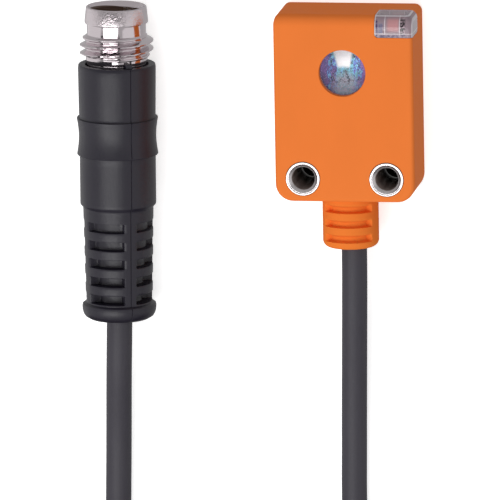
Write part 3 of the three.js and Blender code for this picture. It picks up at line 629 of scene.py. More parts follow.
def merged(name, pieces):
    """Several mesh objects made into one piece of separate closed bodies."""
    work = bmesh.new()
    for piece in pieces:
        work.from_mesh(piece.data)
        bpy.data.objects.remove(piece)
    mesh = bpy.data.meshes.new(name)
    work.to_mesh(mesh)
    work.free()
    whole = bpy.data.objects.new(name, mesh)
    bpy.context.scene.collection.objects.link(whole)
    soften(whole, 40.0)
    return whole


# ------------------------------------------------------------------ settings
def length(name, description, default):
    """A size in metres."""
    return bpy.props.FloatProperty(
        name=name, description=description, default=default, min=0.0, unit="LENGTH", precision=5,
    )


def color(name, description, default):
    """A colour in linear values."""
    return bpy.props.FloatVectorProperty(
        name=name, description=description, default=default, size=3, min=0.0, max=1.0,
        subtype="COLOR",
    )


def amount(name, description, default):
    """A plain number."""
    return bpy.props.FloatProperty(name=name, description=description, default=default, min=0.0)


class StageSettings(bpy.types.PropertyGroup):
    """Camera, floor and lights."""
    azimuth: bpy.props.FloatProperty(
        name="Azimuth", description="Camera's swing to the right of the lens axis",
        default=math.radians(8.903), subtype="ANGLE",
    )
    elevation: bpy.props.FloatProperty(
        name="Elevation", description="Camera's tilt towards the window end",
        default=math.radians(11.486), subtype="ANGLE",
    )
    roll: bpy.props.FloatProperty(
        name="Roll", description="Camera's turn about its own axis",
        default=math.radians(0.996), subtype="ANGLE",
    )
    view_width: length("View width", "Width of the view at the object", 53.53 * MM)
    sky: amount("Sky", "Brightness of the white surroundings", 0.50)
    softbox: amount("Softbox", "Brightness that the softbox adds to an upward face", 0.60)
    side_cards: amount("Side cards", "Brightness of the pale cards that the metal reflects", 0.85)
    floor: color("Floor", "Floor colour", (0.93, 0.93, 0.93))
    floor_glow: amount("Floor glow", "Brightness that comes through the floor from below", 0.6)


class HousingSettings(bpy.types.PropertyGroup):
    """Sensor housing."""
    orange: color("Orange", "Colour of the hard moulding", (0.90, 0.222, 0.046))
    lower_corner: length("Lower corner", "Corner radius at the cable end", 1.9 * MM)
    upper_corner: length("Upper corner", "Corner radius at the window end", 0.8 * MM)
    front_edge: length("Front edge", "Edge radius round the front face", 0.45 * MM)
    top_edge: length("Top edge", "Edge radius above the lens", 1.2 * MM)
    wall: length("Wall", "Wall thickness", 0.9 * MM)


class BushSettings(bpy.types.PropertyGroup):
    """Mounting bushes."""
    metal: color("Metal", "Colour of the turned metal", (0.68, 0.65, 0.66))
    inside: color("Inside", "Colour deep in the bore", (0.30, 0.235, 0.215))
    bore: length("Bore", "Radius of the tapped bore", 1.25 * MM)
    pitch: length("Pitch", "Pitch of the inner thread", 0.5 * MM)


class LensSettings(bpy.types.PropertyGroup):
    """Lens and the coated bowl behind it."""
    radius: length("Radius", "Radius of the dome", 2.45 * MM)
    glass: color("Glass", "Tint of the dome", (0.55, 0.55, 0.75))
    cyan: color("Cyan", "Coating in the middle", (0.30, 0.85, 1.0))
    blue: color("Blue", "Coating between", (0.14, 0.22, 0.85))
    violet: color("Violet", "Coating at the rim", (0.33, 0.17, 0.62))
    # This pale colour is a painted reflection of the bright surroundings on the bowl's lower part, not a
    # coating.
    pale: color("Pale", "Coating towards the cable end", (0.72, 0.72, 0.85))


class WindowSettings(bpy.types.PropertyGroup):
    """Indicator window and the lamps in it."""
    clear: color("Clear", "Tint of the clear moulding", (0.52, 0.385, 0.44))
    wall: length("Wall", "Thickness of the clear wall", 0.55 * MM)
    edge: length("Edge", "Radius of the window's inner edges", 0.4 * MM)
    pink: color("Pink", "Lamp with a pink body", (0.72, 0.33, 0.30))
    dark: color("Dark", "Dark lamp post", (0.06, 0.045, 0.05))
    pale: color("Pale", "Pale divider between the lamps", (0.62, 0.55, 0.58))


class ReliefSettings(bpy.types.PropertyGroup):
    """Strain relief."""
    orange: color("Orange", "Colour of the soft moulding", (0.90, 0.218, 0.037))
    rows: bpy.props.IntProperty(name="Rows", description="Number of cross grooves", default=3)
    pitch: length("Pitch", "Distance between grooves", 1.6 * MM)
    groove: length("Groove", "Width of a groove", 0.82 * MM)
    depth: length("Depth", "Depth of a groove", 0.6 * MM)


class CableSettings(bpy.types.PropertyGroup):
    """Cable and its coil."""
    grey: color("Grey", "Colour of the jacket", (0.037, 0.033, 0.045))
    diameter: length("Diameter", "Outside diameter", 2.75 * MM)
    length: length("Length", "Length from strain relief to plug", 300 * MM)
    outer_turn: length("Outer turn", "Radius of the outer turn", 15.4 * MM)
    inner_turn: length("Inner turn", "Radius of the inner turn", 12.5 * MM)
    top_turn: length("Top turn", "Radius of the turn on top", 13.95 * MM)


class PlugSettings(bpy.types.PropertyGroup):
    """Plug sleeve and shell."""
    nickel: color("Nickel", "Colour of the plated sleeve", (0.65, 0.585, 0.61))
    black: color("Black", "Colour of the shell", (0.0105, 0.0080, 0.0175))
    bore: color("Bore", "Colour inside the sleeve", (0.10, 0.054, 0.036))
    crest: length("Crest", "Radius over the thread's crests", 3.95 * MM)
    root: length("Root", "Radius at the thread's roots", 3.3 * MM)
    pitch: length("Pitch", "Pitch of the outer thread", 0.875 * MM)
    collar: length("Collar", "Radius of the grip collar", 4.35 * MM)
    boot_end: length("Boot", "Length of the shell below the bush axes", 16.25 * MM)


# ------------------------------------------------------------------ camera, floor and lights
def camera_axes(settings):
    """Right, up and backward directions of the camera."""
    azimuth, elevation, roll = settings.azimuth, settings.elevation, settings.roll
    back = Vector((
        math.sin(azimuth) * math.cos(elevation),
        math.sin(elevation),
        math.cos(azimuth) * math.cos(elevation),
    ))
    flat_right = Vector((math.cos(azimuth), 0, -math.sin(azimuth)))
    flat_up = back.cross(flat_right)
    right = flat_right * math.cos(roll) - flat_up * math.sin(roll)
    up = flat_right * math.sin(roll) + flat_up * math.cos(roll)
    return right, up, back


def bearing(azimuth, tilt):
    """Direction from the object, in degrees to the right of +Z and towards +Y."""
    a, t = math.radians(azimuth), math.radians(tilt)
    return Vector((math.sin(a) * math.cos(t), math.sin(t), math.cos(a) * math.cos(t)))


def facing(location, target):
    """Matrix of a light or card at a place that faces a target, with its long side level."""
    back = (location - target).normalized()
    side = Vector((0, 1, 0)).cross(back).normalized()
    if side.length < 0.5:
        side = Vector((1, 0, 0))
    turn = Matrix((side, back.cross(side), back)).transposed().to_4x4()
    return Matrix.Translation(location) @ turn


def add_camera(settings):
    lens = 1000.0
    sensor = 36.0
    aim = Vector((-10.965, -8.646, 4.0)) * MM
    right, up, back = camera_axes(settings)
    data = bpy.data.cameras.new("camera")
    data.lens = lens
    data.sensor_width = sensor
    camera = bpy.data.objects.new("camera", data)
    bpy.context.scene.collection.objects.link(camera)
    distance = settings.view_width * lens / sensor
    turn = Matrix((right, up, back)).transposed().to_4x4()
    camera.matrix_world = Matrix.Translation(aim + back * distance) @ turn
    bpy.context.scene.camera = camera
    return aim


def add_floor(settings):
    """A pale floor that glows a little, with painted shade beneath the housing where the bores look down:
    dark there and without glow.
    """
    graph = Graph("floor")
    place = graph.place()
    x, y, _ = graph.axes(place)
    cloud = graph.noise(place, 0.05, 2.0)
    inset = 1.0
    low, high = HEAD_LOW / MM, HEAD_HIGH / MM
    across = graph.between(x, low.x, low.x + inset) * graph.between(x, high.x, high.x - inset)
    along = graph.between(y, low.y, low.y + inset) * graph.between(y, high.y, high.y - inset)
    # Painted shade: dark colour and no glow beneath the housing, so the bores look dark.
    painted_shade_beneath = across * along
    pale = graph.blend(rgba(settings.floor, 0.99), rgba(settings.floor), cloud)
    material = graph.finish(
        Base_Color=graph.blend(pale, (0.02, 0.015, 0.015, 1.0), painted_shade_beneath),
        Roughness=0.9,
        Specular_IOR_Level=0.2,
        Emission_Color=graph.blend((1.0, 1.0, 1.0, 1.0), (0.0, 0.0, 0.0, 1.0), painted_shade_beneath),
        Emission_Strength=settings.floor_glow,
    )
    half = 1.2
    mesh = bpy.data.meshes.new("floor")
    depth = -0.02 * MM
    corners = [(-half, -half), (half, -half), (half, half), (-half, half)]
    mesh.from_pydata([(x, y, depth) for x, y in corners], [], [(0, 1, 2, 3)])
    floor = bpy.data.objects.new("floor", mesh)
    bpy.context.scene.collection.objects.link(floor)
    mesh.materials.append(material)
    floor.visible_diffuse = False
    floor.visible_glossy = False


def add_area(name, direction, target, size, brightness, distance=0.4):
    """A softbox; brightness is what it adds to a white face turned to it."""
    data = bpy.data.lights.new(name, "AREA")
    data.shape = "RECTANGLE"
    data.size, data.size_y = size
    data.energy = brightness * math.pi ** 2 * distance ** 2
    light = bpy.data.objects.new(name, data)
    bpy.context.scene.collection.objects.link(light)
    light.matrix_world = facing(target + direction * distance, target)
    light.visible_camera = False
    return light


def add_card(name, direction, target, size, distance, tone):
    """A card that only reflections see."""
    graph = Graph(name)
    shader = graph.node("ShaderNodeEmission", {}, {"Color": (tone, tone, tone, 1.0)})
    graph.node("ShaderNodeOutputMaterial", sockets={"Surface": shader})
    half_x, half_y = size[0] / 2, size[1] / 2
    mesh = bpy.data.meshes.new(name)
    corners = [(-half_x, -half_y), (half_x, -half_y), (half_x, half_y), (-half_x, half_y)]
    mesh.from_pydata([(x, y, 0) for x, y in corners], [], [(0, 1, 2, 3)])
    card = bpy.data.objects.new(name, mesh)
    bpy.context.scene.collection.objects.link(card)
    mesh.materials.append(graph.material)
    card.matrix_world = facing(target + direction * distance, target)
    card.visible_camera = False
    card.visible_diffuse = False
    card.visible_shadow = False
    card.visible_transmission = False


def add_sky(settings):
    world = bpy.data.worlds.new("surroundings")
    world.use_nodes = True
    background = world.node_tree.nodes["Background"]
    background.inputs["Color"].default_value = (1.0, 1.0, 1.0, 1.0)
    background.inputs["Strength"].default_value = settings.sky
    bpy.context.scene.world = world


class SENSOR_OT_stage(bpy.types.Operator):
    """Makes the camera, floor and studio light"""
    bl_idname = "sensor.stage"
    bl_label = "Make stage"

    def execute(self, context):
        settings = context.scene.sensor_stage
        context.scene.view_settings.view_transform = "Standard"
        aim = add_camera(settings)
        add_floor(settings)
        add_sky(settings)
        add_area("softbox", bearing(-17, -19), aim, (0.40, 0.20), settings.softbox)
        add_card("dark_card", bearing(-17, 0), aim, (0.68, 0.24), 0.45, 0.03)
        pale = settings.side_cards
        add_card("left_card", bearing(-100, -6), aim, (0.55, 0.3), 0.3, pale)
        add_card("right_card", bearing(75, -6), aim, (0.55, 0.3), 0.3, pale)
        add_card("lower_card", bearing(-8, -110), aim, (0.8, 0.3), 0.3, 0.04)
        return {"FINISHED"}


# ------------------------------------------------------------------ cable
CABLE_Z = 4.0
FLOOR_Z = 1.385
HEAD_RUN = [
    (0.34, -8.0, CABLE_Z), (0.31, -11.5, CABLE_Z - 0.05), (0.21, -15.0, 3.65), (0.03, -19.0, 2.9),
    (-0.15, -23.0, 2.15), (-0.3, -27.0, 1.62), (-0.39, -31.0, 1.42), (-0.46, -35.0, FLOOR_Z),
    (-0.44, -38.0, FLOOR_Z), (-0.24, -41.2, FLOOR_Z), (0.2, -44.4, FLOOR_Z),
    (0.9, -47.8, FLOOR_Z), (1.62, -51.2, FLOOR_Z),
]
PLUG_RUN = [
    (-27.35, -51.5, 4.2), (-27.2, -48.9, 4.35), (-26.98, -46.2, 4.05), (-26.7, -43.8, 3.25),
    (-26.48, -41.5, 2.4), (-26.3, -39.5, 1.8), (-26.2, -37.5, 1.45), (-26.12, -34.5, FLOOR_Z),
    (-26.03, -31.5, 1.47), (-25.88, -28.5, 2.0), (-25.68, -25.5, 2.85), (-25.47, -22.5, 3.75),
    (-25.3, -19.5, 4.28), (-25.2, -16.25, 4.35),
]


def coil_turns(settings, centre):
    """Two and a half turns: an outer, an inner, and one on top of both."""
    diameter = settings.diameter
    floor = FLOOR_Z * MM
    over = floor + diameter
    nested = floor + diameter * 0.87
    points = []
    for step in range(0, 901, 15):
        inward = smooth_step(step, 180, 320)
        outward = smooth_step(step, 640, 760)
        climb = smooth_step(step, 540, 620)
        settle = smooth_step(step, 690, 760)
        radius = settings.outer_turn + (settings.inner_turn - settings.outer_turn) * inward
        radius += (settings.top_turn - settings.inner_turn) * outward
        height = floor + (over - floor) * climb + (nested - over) * settle
        beside_tie = ((step - 90 + 180) % 360 - 180) / 22
        height += 0.42 * MM * math.exp(-beside_tie * beside_tie)
        angle = math.radians(step)
        points.append(Vector((
            centre.x + radius * math.cos(angle),
            centre.y - radius * math.sin(angle),
            height,
        )))
    return points


class SENSOR_OT_cable(bpy.types.Operator):
    """Makes the cable with its coil of spare length"""
    bl_idname = "sensor.cable"
    bl_label = "Make cable"

    def execute(self, context):
        settings = context.scene.sensor_cable
        route = [Vector(point) * MM for point in HEAD_RUN]
        route += coil_turns(settings, middle("cable_coil"))
        route += [Vector(point) * MM for point in PLUG_RUN]
        curve = bpy.data.curves.new("cable", "CURVE")
        curve.dimensions = "3D"
        curve.bevel_depth = settings.diameter / 2
        curve.bevel_resolution = 7
        curve.resolution_u = 5
        curve.use_fill_caps = True
        line = curve.splines.new("BEZIER")
        line.bezier_points.add(len(route) - 1)
        for knot, point in zip(line.bezier_points, route):
            knot.co = point
            knot.handle_left_type = "AUTO"
            knot.handle_right_type = "AUTO"
        cable = bpy.data.objects.new("cable", curve)
        context.scene.collection.objects.link(cable)
        dress(cable, cable_jacket(settings.grey), "cable_jacket",
              "cable_run_head", "cable_coil", "cable_run_plug")
        return {"FINISHED"}


# ------------------------------------------------------------------ housing
def quarter_rise(radius, steps):
    """Heights below a face at which an edge radius is sampled, nearest last."""
    return [radius * (1 - math.sin(math.pi / 2 * i / steps)) for i in range(steps + 1)]


def edge_inset(radius, below):
    """How far an edge radius has moved in at a depth below the face."""
    if below >= radius:
        return 0.0
    rise = radius - below
    return radius - math.sqrt(max(0.0, radius * radius - rise * rise))


def head_block(name, settings, base):
    """The sensor's outside from a height to the front face."""
    front = HEAD_HIGH.z
    depths = set(quarter_rise(settings.top_edge, 10) + quarter_rise(settings.front_edge, 6))
    heights = [base] + sorted(front - depth for depth in depths)
    levels = []
    for height in heights:
        side = edge_inset(settings.front_edge, front - height)
        top = edge_inset(settings.top_edge, front - height)
        low = Vector((HEAD_LOW.x + side, HEAD_LOW.y + side))
        high = Vector((HEAD_HIGH.x - side, HEAD_HIGH.y - top))
        levels.append((height, rounded_outline(
            low, high, settings.lower_corner - side,
            max(settings.upper_corner - side, 0.25 * MM),
        )))
    points, faces = stacked(levels)
    return new_piece(name, points, faces)


def drill(name, centre, radius, low, high, flare=0.0):
    """A round cutter along Z that opens out at its upper end."""
    line = [(0, low), (radius, low), (radius, high - flare)]
    line += [(radius + 2 * flare, high + flare), (0, high + flare)]
    points, faces = turned(line, even_angles(96))
    return new_piece(name, points, faces, place=along_z(Vector((centre.x, centre.y, 0))))


def window_block(name, grow, edge):
    """The corner that the window fills, with rounded inner edges."""
    low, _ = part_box("indicator_window")
    reach = Vector((1, 1, 1)) * MM
    return bar(name, low - Vector((grow, grow, grow)), HEAD_HIGH + reach, edge, 4)


class SENSOR_OT_housing(bpy.types.Operator):
    """Makes the moulded housing and its back cover"""
    bl_idname = "sensor.housing"
    bl_label = "Make housing"

    def execute(self, context):
        settings = context.scene.sensor_housing
        window = context.scene.sensor_window
        wall = settings.wall
        shell = head_block("housing_shell", settings, COVER_TOP)
        inner_low = Vector((HEAD_LOW.x + wall, HEAD_LOW.y + wall))
        inner_high = Vector((HEAD_HIGH.x - wall, HEAD_HIGH.y - wall))
        outline = rounded_outline(inner_low, inner_high, settings.lower_corner - wall, 0.3 * MM)
        points, faces = stacked([(COVER_TOP - MM, outline), (HEAD_HIGH.z - wall, outline)])
        hollow = new_piece("hollow", points, faces)
        front = HEAD_HIGH.z
        lens_hole = context.scene.sensor_lens.radius + 0.05 * MM
        cutters = [hollow, drill("lens_hole", middle("lens"), lens_hole, 3 * MM, front, 0.05 * MM)]
        for side in ("bush_left", "bush_right"):
            hole = span(side).x / 2 + 0.03 * MM
            cutters.append(drill("hole", middle(side), hole, -MM, front, 0.03 * MM))
        cutters.append(window_block("window_seat", 0.04 * MM, window.edge))
        lamp_low, lamp_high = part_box("indicator_window")
        room = Vector((window.wall, window.wall, -5 * MM))
        well_high = Vector((HEAD_HIGH.x - wall, HEAD_HIGH.y - wall, lamp_low.z + MM))
        cutters.append(bar("lamp_well", lamp_low + room, well_high))
        carved(shell, cutters)
        soften(shell, 32.0)
        material = housing_orange(settings.orange)
        dress(shell, material, "housing", "housing_body")
        self.make_cover(settings, material)
        return {"FINISHED"}

    def make_cover(self, settings, material):
        """The back cover, a plate with a rounded outer edge."""
        edge = 0.25 * MM
        levels = []
        for depth in sorted(quarter_rise(edge, 5)):
            inset = edge_inset(edge, depth)
            levels.append((HEAD_LOW.z + depth, self.cover_outline(settings, inset)))
        levels.append((COVER_TOP - 0.04 * MM, self.cover_outline(settings, 0.0)))
        points, faces = stacked(levels)
        cover = new_piece("cover_plate", points, faces)
        holes = []
        for side in ("bush_left", "bush_right"):
            hole = span(side).x / 2 + 0.03 * MM
            holes.append(drill("hole", middle(side), hole, -MM, COVER_TOP + MM))
        carved(cover, holes)
        soften(cover, 32.0)
        dress(cover, material, "housing", "back_cover")

    def cover_outline(self, settings, inset):
        low = Vector((HEAD_LOW.x + inset, HEAD_LOW.y + inset))
        high = Vector((HEAD_HIGH.x - inset, HEAD_HIGH.y - inset))
        return rounded_outline(
            low, high, settings.lower_corner - inset, settings.upper_corner - inset,
        )


# ------------------------------------------------------------------ bushes
def ridge(phase):
    """Thread section from 0 at the root to 1 at the crest."""
    height = 2 * abs(phase - math.floor(phase) - 0.5)
    return min(1.0, max(0.0, (height - 0.12) / 0.76))


class SENSOR_OT_bushes(bpy.types.Operator):
    """Makes the two threaded bushes"""
    bl_idname = "sensor.bushes"
    bl_label = "Make bushes"

    def execute(self, context):
        settings = context.scene.sensor_bush
        material = bush_metal(settings.metal, settings.inside, span("bush_left").z)
        for node in ("bush_left", "bush_right"):
            self.make_bush(settings, node, material)
        return {"FINISHED"}

    def make_bush(self, settings, node, material):
        """A turned bush: bright rim, fine groove, countersink and tapped bore."""
        outer = span(node).y / 2
        top = span(node).z
        bore = settings.bore
        mouth = top - 0.36 * MM
        line = [
            (bore + 0.2 * MM, 0), (outer - 0.1 * MM, 0), (outer, 0.1 * MM),
            (outer, top - 0.06 * MM), (outer - 0.02 * MM, top - 0.015 * MM),
            (outer - 0.06 * MM, top), (outer - 0.17 * MM, top),
            (outer - 0.2 * MM, top - 0.02 * MM), (outer - 0.215 * MM, top - 0.09 * MM),
            (outer - 0.25 * MM, top - 0.09 * MM), (outer - 0.27 * MM, top - 0.03 * MM),
            (bore + 0.03 * MM, mouth + 0.02 * MM), (bore, mouth),
        ]
        start = len(line)
        deepest = 0.6 * MM
        line += [(bore, height) for height in steps_between(mouth - 0.05 * MM, deepest, 0.05 * MM)]
        finish = len(line)
        line += [(bore, deepest - 0.2 * MM), (bore, 0.2 * MM)]

        def tapped(radius, height, angle, index):
            if not start <= index < finish:
                return radius, height
            fade = smooth_step(mouth - height, 0, settings.pitch) * smooth_step(
                height - deepest, 0, settings.pitch)
            return radius + 0.22 * MM * fade * ridge(
                height / settings.pitch - angle / FULL_TURN), height

        points, faces = turned(line, even_angles(80), tapped)
        centre = middle(node)
        bush = new_piece(node + "_turned", points, faces, 40.0, along_z(Vector((centre.x, centre.y, 0))))
        dress(bush, material, "bush_metal", node)


# ------------------------------------------------------------------ lens
class SENSOR_OT_lens(bpy.types.Operator):
    """Makes the domed lens and the coated bowl behind it"""
    bl_idname = "sensor.lens"
    bl_label = "Make lens"

    def execute(self, context):
        settings = context.scene.sensor_lens
        self.make_dome(settings)
        self.make_bowl(settings)
        return {"FINISHED"}

    def make_dome(self, settings):
        """The clear dome with its flange behind the front wall."""
        low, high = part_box("lens")
        flange = span("lens").x / 2
        rim = HEAD_HIGH.z - 0.2 * MM
        step = 0.7 * MM
        line = [(0, low.z), (flange, low.z), (flange, low.z + step), (settings.radius, low.z + step)]
        count = 24
        for i in range(count + 1):
            share = math.cos(math.pi / 2 * i / count)
            rise = (high.z - rim) * (1 - share * share)
            line.append((settings.radius * share, rim + rise))
        line[-1] = (0, high.z)
        points, faces = turned(line, even_angles(96))
        centre = middle("lens")
        place = along_z(Vector((centre.x, centre.y, 0)))
        dome = new_piece("lens_dome", points, faces, 40.0, place)
        dress(dome, clear_moulding("lens_glass", settings.glass, 0.07), "lens_glass", "lens")

    def make_bowl(self, settings):
        """The tube behind the lens, with a coated bowl for its inner face."""
        low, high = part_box("optics_tube")
        outer = span("optics_tube").x / 2
        rim = settings.radius + 0.1 * MM
        depth = 0.5 * rim * math.tan(math.radians(26))
        line = [(0, low.z), (outer, low.z), (outer, high.z), (rim, high.z)]
        count = 24
        for i in range(1, count + 1):
            share = 1 - i / count
            line.append((rim * share, high.z - depth * (1 - share * share)))
        points, faces = turned(line, even_angles(96))
        centre = middle("optics_tube")
        place = along_z(Vector((centre.x, centre.y, 0)))
        bowl = new_piece("optics_bowl", points, faces, 40.0, place)
        material = coated_bowl(
            centre, settings.radius, settings.cyan, settings.blue, settings.violet, settings.pale,
        )
        dress(bowl, material, "black_plastic", "optics_tube", "aperture_disc")


# ------------------------------------------------------------------ window and lamps
class SENSOR_OT_window(bpy.types.Operator):
    """Makes the clear indicator window and the lamps behind it"""
    bl_idname = "sensor.window"
    bl_label = "Make window"

    def execute(self, context):
        settings = context.scene.sensor_window
        housing = context.scene.sensor_housing
        window = head_block("window_clear", housing, HEAD_HIGH.z / 3)
        carved(window, [window_block("corner", 0.0, settings.edge)], "INTERSECT")
        low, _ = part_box("indicator_window")
        wall = settings.wall
        inner = Vector((housing.wall, housing.wall, housing.wall))
        pocket = bar("pocket", low + Vector((wall, wall, -2 * MM)), HEAD_HIGH - inner, 0.15 * MM, 3)
        carved(window, [pocket])
        soften(window, 32.0)
        material = window_moulding(settings.clear, low, HEAD_HIGH, 0.62)
        dress(window, material, "window_clear", "indicator_window")
        self.make_lamps(settings)
        return {"FINISHED"}

    def make_lamps(self, settings):
        """A pink-bodied lamp, a pale divider and a dark post."""
        low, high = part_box("output_led")
        body = bar("lamp_body", low, high, 0.08 * MM, 3)
        dress(body, plain_part("lamp_pink", settings.pink, 0.3), "led_output", "output_led")
        low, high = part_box("lamp_divider")
        divider = bar("lamp_wall", low, high, 0.05 * MM, 2)
        dress(divider, plain_part("lamp_pale", settings.pale, 0.4), "divider_grey", "lamp_divider")
        low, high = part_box("power_led")
        post = bar("lamp_post", low, high, 0.05 * MM, 2)
        dress(post, plain_part("lamp_dark", settings.dark, 0.3), "led_power", "power_led")


# ------------------------------------------------------------------ strain relief
class SENSOR_OT_relief(bpy.types.Operator):
    """Makes the grooved strain relief"""
    bl_idname = "sensor.relief"
    bl_label = "Make strain relief"

    def execute(self, context):
        settings = context.scene.sensor_relief
        low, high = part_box("strain_relief")
        radius = span("strain_relief").x / 2
        face = HEAD_LOW.y - 0.01 * MM
        bore = context.scene.sensor_cable.diameter / 2 + 0.04 * MM
        neck = 2.1 * MM
        line = [(bore, low.y + 0.12 * MM), (bore + 0.12 * MM, low.y)]
        line += arc(radius - 0.75 * MM, low.y + 0.75 * MM, 0.75 * MM, -90, 0, 8)
        start = len(line)
        grooved = face - 0.15 * MM
        line += [(radius, h) for h in steps_between(low.y + 0.8 * MM, grooved, 0.045 * MM)]
        finish = len(line)
        line += [(radius + 0.04 * MM, face - 0.05 * MM), (radius + 0.1 * MM, face)]
        line += [(neck, face), (neck, high.y), (bore, high.y)]
        half_arc = math.radians(56)

        def grooves(point_radius, height, angle, index):
            if not start <= index < finish:
                return point_radius, height
            turn = abs((angle + math.pi) % FULL_TURN - math.pi)
            turn = min(turn, math.pi - turn)
            across = 1 - smooth_step(turn, half_arc - 0.05, half_arc + 0.01)
            cut = 0.0
            for row in range(settings.rows):
                top = face - 0.6 * MM - row * settings.pitch
                bottom = top - settings.groove
                cut += smooth_step(height, bottom - 0.05 * MM, bottom + 0.04 * MM) * (
                    1 - smooth_step(height, top - 0.4 * MM, top + 0.05 * MM))
            return point_radius - settings.depth * cut * across, height

        angles = even_angles(144)
        points, faces = turned(line, angles, grooves)
        centre = Vector((0, 0, middle("strain_relief").z))
        relief = new_piece("strain_relief_moulding", points, faces, 50.0, along_y(centre))
        dress(relief, relief_orange(settings.orange), "relief_orange", "strain_relief")
        return {"FINISHED"}


# ------------------------------------------------------------------ plug
def plug_place():
    """Where the plug's axis lies, with its lean."""
    sleeve = middle("plug_sleeve")
    return Vector((sleeve.x - math.tan(PLUG_LEAN) * sleeve.y, 0, sleeve.z))


class SENSOR_OT_sleeve(bpy.types.Operator):
    """Makes the plug's threaded metal sleeve and its contacts"""
    bl_idname = "sensor.sleeve"
    bl_label = "Make plug sleeve"

    def execute(self, context):
        settings = context.scene.sensor_plug
        low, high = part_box("plug_sleeve")
        top = high.y
        tail = low.y
        root = settings.root
        foot = 11.8 * MM
        thread_low, thread_high = 12.3 * MM, 14.75 * MM
        snap, snap_radius = 16.02 * MM, 3.4 * MM
        bore = 2.7 * MM
        line = [
            (bore, tail), (root - 0.1 * MM, tail), (root - 0.1 * MM, foot - 0.02 * MM),
            (root - 0.06 * MM, foot), (root, foot + 0.08 * MM),
        ]
        start = len(line)
        line += [(root, h) for h in steps_between(thread_low, thread_high, 0.045 * MM)]
        finish = len(line)
        line += [
            (root - 0.13 * MM, thread_high + 0.12 * MM), (root - 0.13 * MM, snap - 0.02 * MM),
            (root - 0.11 * MM, snap + 0.03 * MM), (snap_radius - 0.02 * MM, snap + 0.07 * MM),
            (snap_radius, snap + 0.12 * MM), (snap_radius, snap + 0.34 * MM),
            (3.25 * MM, top - 0.12 * MM), (3.21 * MM, top - 0.03 * MM),
            (3.17 * MM, top), (3.08 * MM, top), (3.04 * MM, top - 0.04 * MM),
            (bore + 0.05 * MM, top - 0.5 * MM), (bore, top - 0.6 * MM),
        ]

        def threaded(radius, height, angle, index):
            if not start <= index < finish:
                return radius, height
            phase = (height + 0.1 * MM) / settings.pitch - angle / FULL_TURN
            fade = min(1.0, 2 * (thread_high - height) / settings.pitch)
            fade = fade * min(1.0, 2 * (height - thread_low) / settings.pitch)
            return radius + (settings.crest - root) * ridge(phase) * fade, height

        points, faces = turned(line, even_angles(144), threaded)
        place = along_y(plug_place(), PLUG_LEAN)
        sleeve = new_piece("sleeve_threaded", points, faces, 45.0, place)
        notch = bar(
            "notch", (2.9 * MM, -0.45 * MM, tail - MM), (4.5 * MM, 0.45 * MM, thread_low),
            0.05 * MM, 2,
        )
        notch.data.transform(place @ Matrix.Rotation(KEY_ANGLE, 4, "Z"))
        carved(sleeve, [notch])
        soften(sleeve, 40.0)
        material = plated_sleeve(settings.nickel, settings.bore, plug_place(), bore + 0.02 * MM)
        dress(sleeve, material, "sleeve_nickel", "plug_sleeve")
        self.make_pins()
        return {"FINISHED"}

    def make_pins(self):
        """Round-ended contacts."""
        material = worked_metal("contact_gold", (0.82, 0.6, 0.25), 0.18, 4.0, (False, True, False))
        for number in (1, 3, 4):
            node = f"contact_pin_{number}"
            low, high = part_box(node)
            radius = span(node).z / 2
            line = [(0, low.y), (radius, low.y)] + arc(
                radius * 0.45, high.y - radius * 0.55, radius * 0.55, 0, 90, 6)
            line += [(0, high.y)]
            points, faces = turned(line, even_angles(40))
            centre = middle(node)
            place = along_y(Vector((centre.x, 0, centre.z)))
            pin = new_piece(f"pin_{number}_plated", points, faces, 40.0, place)
            dress(pin, material, "contact_gold", node)


